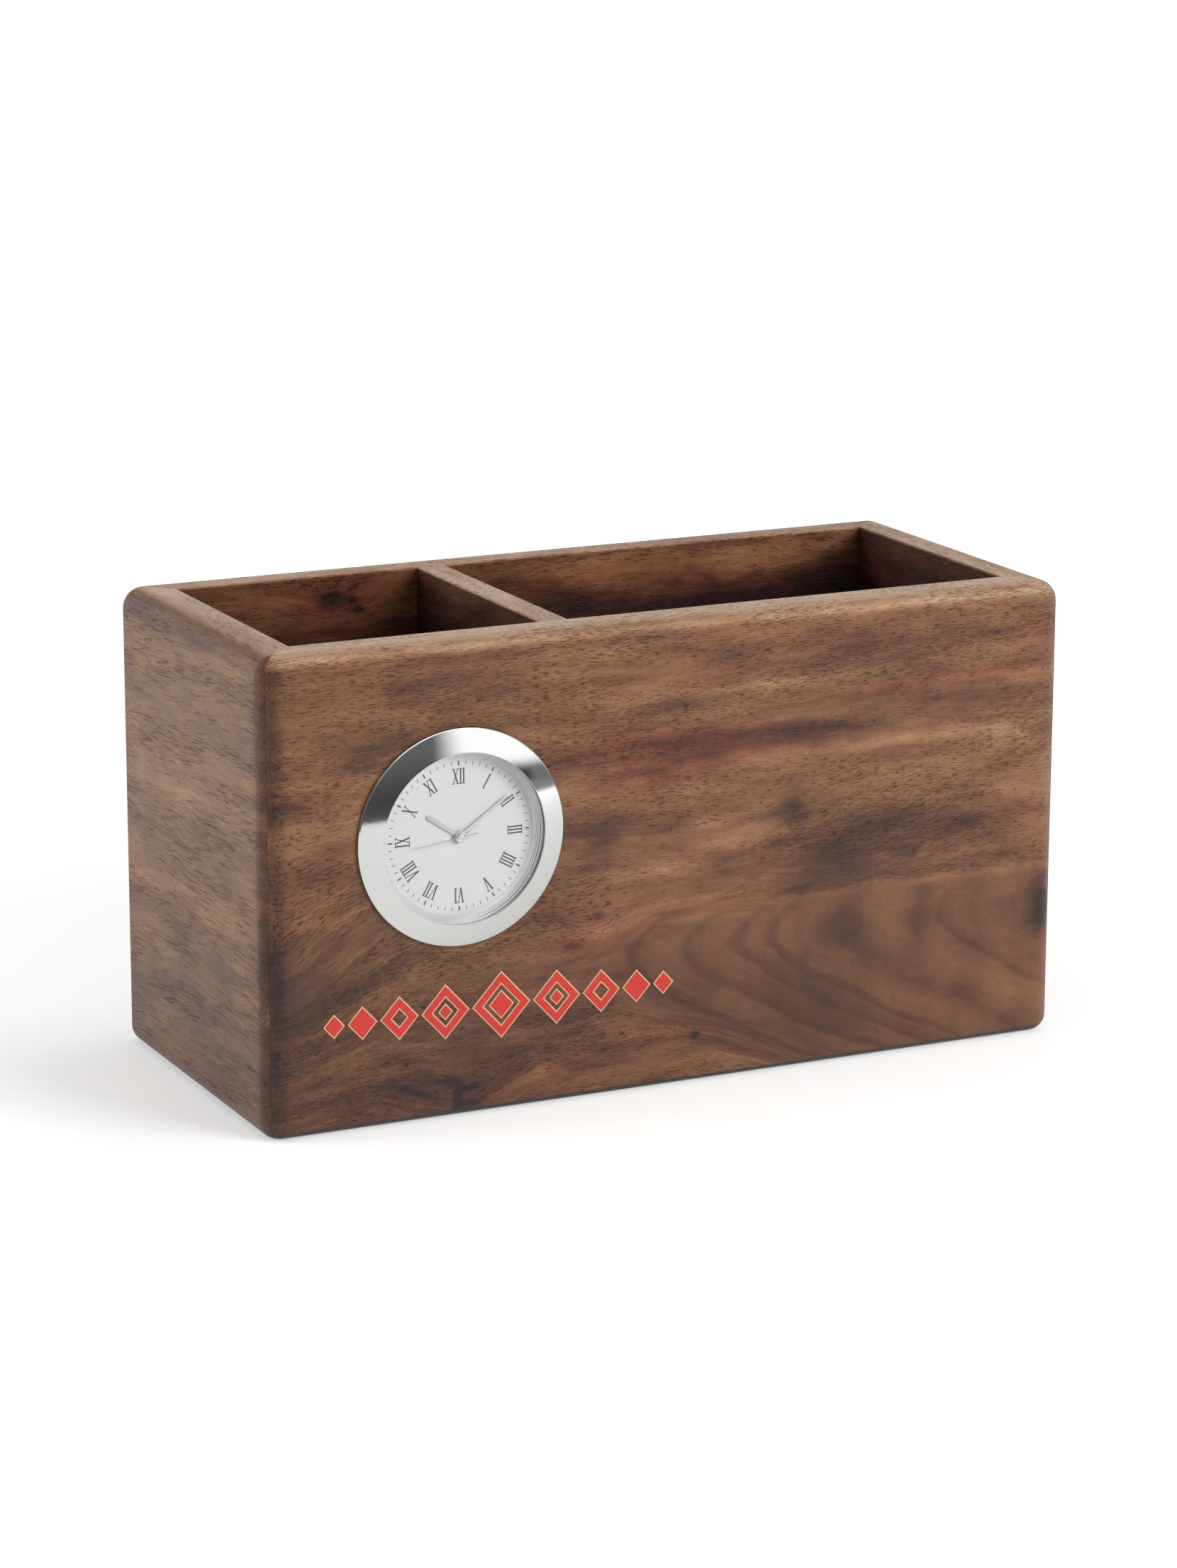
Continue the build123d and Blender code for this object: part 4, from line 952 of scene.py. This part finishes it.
def ridged_hand(reading, stations, half_widths, front, back, ridge):
    """Points and faces of a hand with a low ridge along its middle. Its section is a flat bar with a
    raised centre line: edges at plus and minus the half width, the ridge in front of them."""
    stations, half_widths = np.asarray(stations, float), np.asarray(half_widths, float)
    side = np.array([-1, -1, 0, 1, 1, 0])[None, :]
    level = np.array([back, front, front - ridge, front, back, back])[None, :]
    x = side * half_widths[:, None]
    y = np.broadcast_to(stations[:, None], x.shape)
    points = face_points(*clockwise(x, y, reading), np.broadcast_to(level, x.shape))
    count = len(stations)
    faces = grid_faces(count, 6)
    faces += [list(range(6)), list(range((count - 1) * 6, count * 6))]
    return points, faces


def boss(inner, outer, front, back):
    """Points and faces of the ring that carries a hand on the clock's axis."""
    return turned(eased([(inner, front), (outer, front), (outer, back), (inner, back)], 0.05), HUB_STEPS)


def hand_depths(node):
    """Front and back of the flat of a hand."""
    back = depth_of(node, 1)
    return back - HAND_THICKNESS, back


HAND_THICKNESS = 0.15
hour, minute, second = 10, 9.1, 43.8
hour_reading, minute_reading = radians((hour + minute / 60) * 30), radians(minute * 6)
second_reading = radians(second * 6)
front, back = hand_depths("hour_hand")
tip = np.sqrt(np.linspace(1, 0.02, 7))
blade = ridged_hand(hour_reading, [0.9, 2.0, 5.0, *np.linspace(8.9, 9.4, 7)],
                    [0.38, 0.42, 0.5, *(0.52 * tip)], front, back, 0.04)
hour_shells = joined([blade, boss(0.98, 1.5, front - 0.06, back)])
hour_piece = make_piece("hour_hand_blade", *hour_shells, "hour", "hand_silver", hour_finish, 20)
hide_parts("hour_hand")
front, back = hand_depths("minute_hand")
blade = ridged_hand(minute_reading, [0.8, 4.0, 10.0, 13.9, 14.2, 14.4], [0.37, 0.35, 0.30, 0.27, 0.2, 0.05],
                    front, back, 0.12)
minute_shells = joined([blade, boss(0.6, 1.25, front - 0.12, back)])
minute_piece = make_piece("minute_hand_blade", *minute_shells, "minute", "hand_silver", hand_finish, 20)
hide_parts("minute_hand")
front, back = hand_depths("second_hand")
blade = ridged_hand(second_reading, [-4.0, 0.0, 11.6], [0.11, 0.08, 0.055], front, back, 0.03)
cap_top = depth_of("second_hand")
cap_outline = [(0.02, cap_top), (0.30, cap_top + 0.02), (0.52, cap_top + 0.14), (0.56, cap_top + 0.3),
               (0.86, cap_top + 0.34), (0.86, back), (0.02, back)]
cap = turned(eased(cap_outline, 0.05), HUB_STEPS)
second_piece = make_piece("second_hand_blade", *blade, "second", "hand_silver", second_finish, 30)
make_piece("second_hand_cap", *cap, "second", "hand_silver", hand_finish, 30)
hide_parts("second_hand")

# --- Studio: floor, light and camera ---

FLOOR_HALF_SIZE, FLOOR_LEVEL = 6.0, -0.00005
# What a camera ray adds to the floor's own light: near the box, further off as the distance grows, and less
# at the box's left, where this painted shadow lies between places along an axis, in metres
FLOOR_LIFT, FAR_LIFT, LEFT_SHADOW = 0.46, 0.55, -0.13
LEFT_SHADOW_SPANS = (("x", -0.20, -0.12), ("x", -0.09, -0.104), ("y", -0.07, -0.02), ("y", 0.08, 0.02))
# Levels that a mirrored ray sees: floor, softbox, wall right of it, lamp overhead, backdrop low and high
MIRRORED_FLOOR, SOFTBOX, RIGHT_WALL, OVERHEAD, BACKDROP = 0.29, 1.8, 0.27, 2.2, (1.5, 0.30)
# The Background node's own colour is a grey of 0.8, and this level makes it white
WHITE_LEVEL = 1.25


def direct_ray(tree, path, kind):
    """1 for a ray of a kind that no dull surface has scattered before, else 0."""
    direct = maths(tree, "LESS_THAN", path["Diffuse Depth"], 0.5)
    return times(tree, path[kind], direct)


def make_floor():
    """Pale floor. A camera ray sees it brighter than it is lit and white far away, so that it runs out into
    white and keeps the box's shadow. A glossy ray sees it end in front of the box in a dim room."""
    mesh = bpy.data.meshes.new("studio_floor")
    corners = [(x * FLOOR_HALF_SIZE, y * FLOOR_HALF_SIZE, FLOOR_LEVEL)
               for x, y in ((-1, -1), (1, -1), (1, 1), (-1, 1))]
    mesh.from_pydata(corners, [], [(0, 1, 2, 3)])
    floor = linked("studio_floor", mesh)
    material, tree, shader, place = new_finish("floor_white")
    feed_all(tree, shader, Base_Color=(0.84, 0.84, 0.83, 1.0), Roughness=0.9, Specular_IOR_Level=0.1,
             Emission_Color=(1.0, 1.0, 1.0, 1.0))
    path = place_node(tree, "ShaderNodeLightPath").outputs
    axes = dict(zip("xyz", parts(tree, place)))
    # Painted shadow: the floor's lift is smaller left of the box
    left_shadow_mask = 1.0
    for letter, low, high in LEFT_SHADOW_SPANS:
        left_shadow_mask = times(tree, left_shadow_mask, band(tree, axes[letter], low, high))
    near = maths(tree, "MULTIPLY_ADD", left_shadow_mask, LEFT_SHADOW, FLOOR_LIFT)
    far = band(tree, vector_maths(tree, "LENGTH", place), 0.25, 0.9, 0.0, FAR_LIFT)
    lift = maths(tree, "ADD", near, far)
    seen = times(tree, path["Is Camera Ray"], lift)
    glossy = direct_ray(tree, path, "Is Glossy Ray")
    mirrored = times(tree, glossy, MIRRORED_FLOOR)
    feed_all(tree, shader, Emission_Strength=maths(tree, "MAXIMUM", seen, mirrored))
    dim = times(tree, band(tree, axes["y"], -0.80, -0.64, 1.0, 0.0), glossy)
    dark = place_node(tree, "ShaderNodeEmission")
    feed_all(tree, dark, Strength=band(tree, axes["x"], 0.5, 0.9, 0.08, RIGHT_WALL))
    mixed_surface(tree, dim, shader.outputs[0], dark.outputs[0])
    mesh.materials.append(material)


def make_world():
    """Studio that a camera ray sees as white. Glossy rays see a bright backdrop behind the box, and in
    front of it a dim room that brightens upwards, with a softbox at the right. The rest is a soft light."""
    world = bpy.data.worlds.new("studio")
    bpy.context.scene.world = world
    world.use_nodes = True
    tree = world.node_tree
    tree.nodes.clear()
    right, back, up = parts(tree, place_node(tree, "ShaderNodeTexCoord").outputs["Generated"])
    path = place_node(tree, "ShaderNodeLightPath").outputs
    turn = maths(tree, "ARCTAN2", right, times(tree, back, -1.0))
    room = maths(tree, "ADD", band(tree, up, 0.0, 0.33, 0.09, 0.20), band(tree, up, 0.40, 0.70, 0.0, 0.50))
    overhead = band(tree, up, 0.70, 0.86, 0.0, OVERHEAD)
    box_side = band(tree, turn, radians(10), radians(26))
    box_foot = band(tree, up, 0.04, 0.135)
    large_softbox = times(tree, times(tree, box_side, box_foot), SOFTBOX)
    right_wall = band(tree, turn, radians(44), radians(51), 0.0, RIGHT_WALL)
    front_side = room
    for light in (right_wall, overhead, large_softbox):
        front_side = maths(tree, "MAXIMUM", front_side, light)
    backdrop = band(tree, up, 0.26, 0.42, *BACKDROP)
    mirrored = blended(tree, band(tree, back, -0.25, 0.05), front_side, backdrop, kind="FLOAT")
    soft = maths(tree, "ADD", band(tree, up, -0.2, 0.9, 0.26, 0.34), band(tree, up, 0.80, 0.95, 0.0, 0.9))
    level = blended(tree, direct_ray(tree, path, "Is Glossy Ray"), soft, mirrored, kind="FLOAT")
    seen = maths(tree, "MAXIMUM", path["Is Camera Ray"], direct_ray(tree, path, "Is Transmission Ray"))
    seen = times(tree, seen, WHITE_LEVEL)
    background = place_node(tree, "ShaderNodeBackground")
    feed_all(tree, background, Strength=maths(tree, "MAXIMUM", level, seen))
    output = place_node(tree, "ShaderNodeOutputWorld")
    tree.links.new(background.outputs[0], output.inputs["Surface"])


MIDDLE = Vector((0.0, 0.0, 0.055))
LAMP_SIDE = 0.7


def softbox(name, place, power):
    """Square lamp that lights the box's middle. The studio's own softbox takes its place in mirrors."""
    lamp = bpy.data.lights.new(name, "AREA")
    lamp.shape = "RECTANGLE"
    lamp.size, lamp.size_y = LAMP_SIDE, LAMP_SIDE
    lamp.energy = power
    holder = linked(name, lamp)
    holder.location = place
    holder.rotation_mode = "QUATERNION"
    holder.rotation_quaternion = (MIDDLE - Vector(place)).to_track_quat("-Z", "Y")
    holder.visible_glossy = False
    holder.visible_transmission = False


make_floor()
make_world()
softbox("key_light", (0.66, -1.00, 0.58), 11.2)
softbox("left_back_light", (-1.05, 0.48, 0.50), 6.2)

# Camera: its place, lens and angles were fitted to the box's corners in the photo
CAMERA_PLACE = (-0.46072, -0.94902, 0.32591)
camera_data = bpy.data.cameras.new("camera")
camera = linked("camera", camera_data)
camera_data.sensor_width, camera_data.lens = 36.0, 105.94
yaw, pitch, roll = radians(25.860), radians(14.066), radians(0.1615)
look = Vector((sin(yaw) * cos(pitch), cos(yaw) * cos(pitch), -sin(pitch)))
level_right = Vector((cos(yaw), -sin(yaw), 0.0))
level_up = level_right.cross(look)
camera_right = level_right * cos(roll) + level_up * sin(roll)
camera_up = level_up * cos(roll) - level_right * sin(roll)
turn = Matrix((camera_right, camera_up, -look)).transposed().to_4x4()
camera.matrix_world = Matrix.Translation(CAMERA_PLACE) @ turn
bpy.context.scene.camera = camera
bpy.context.scene.view_settings.view_transform = "Standard"
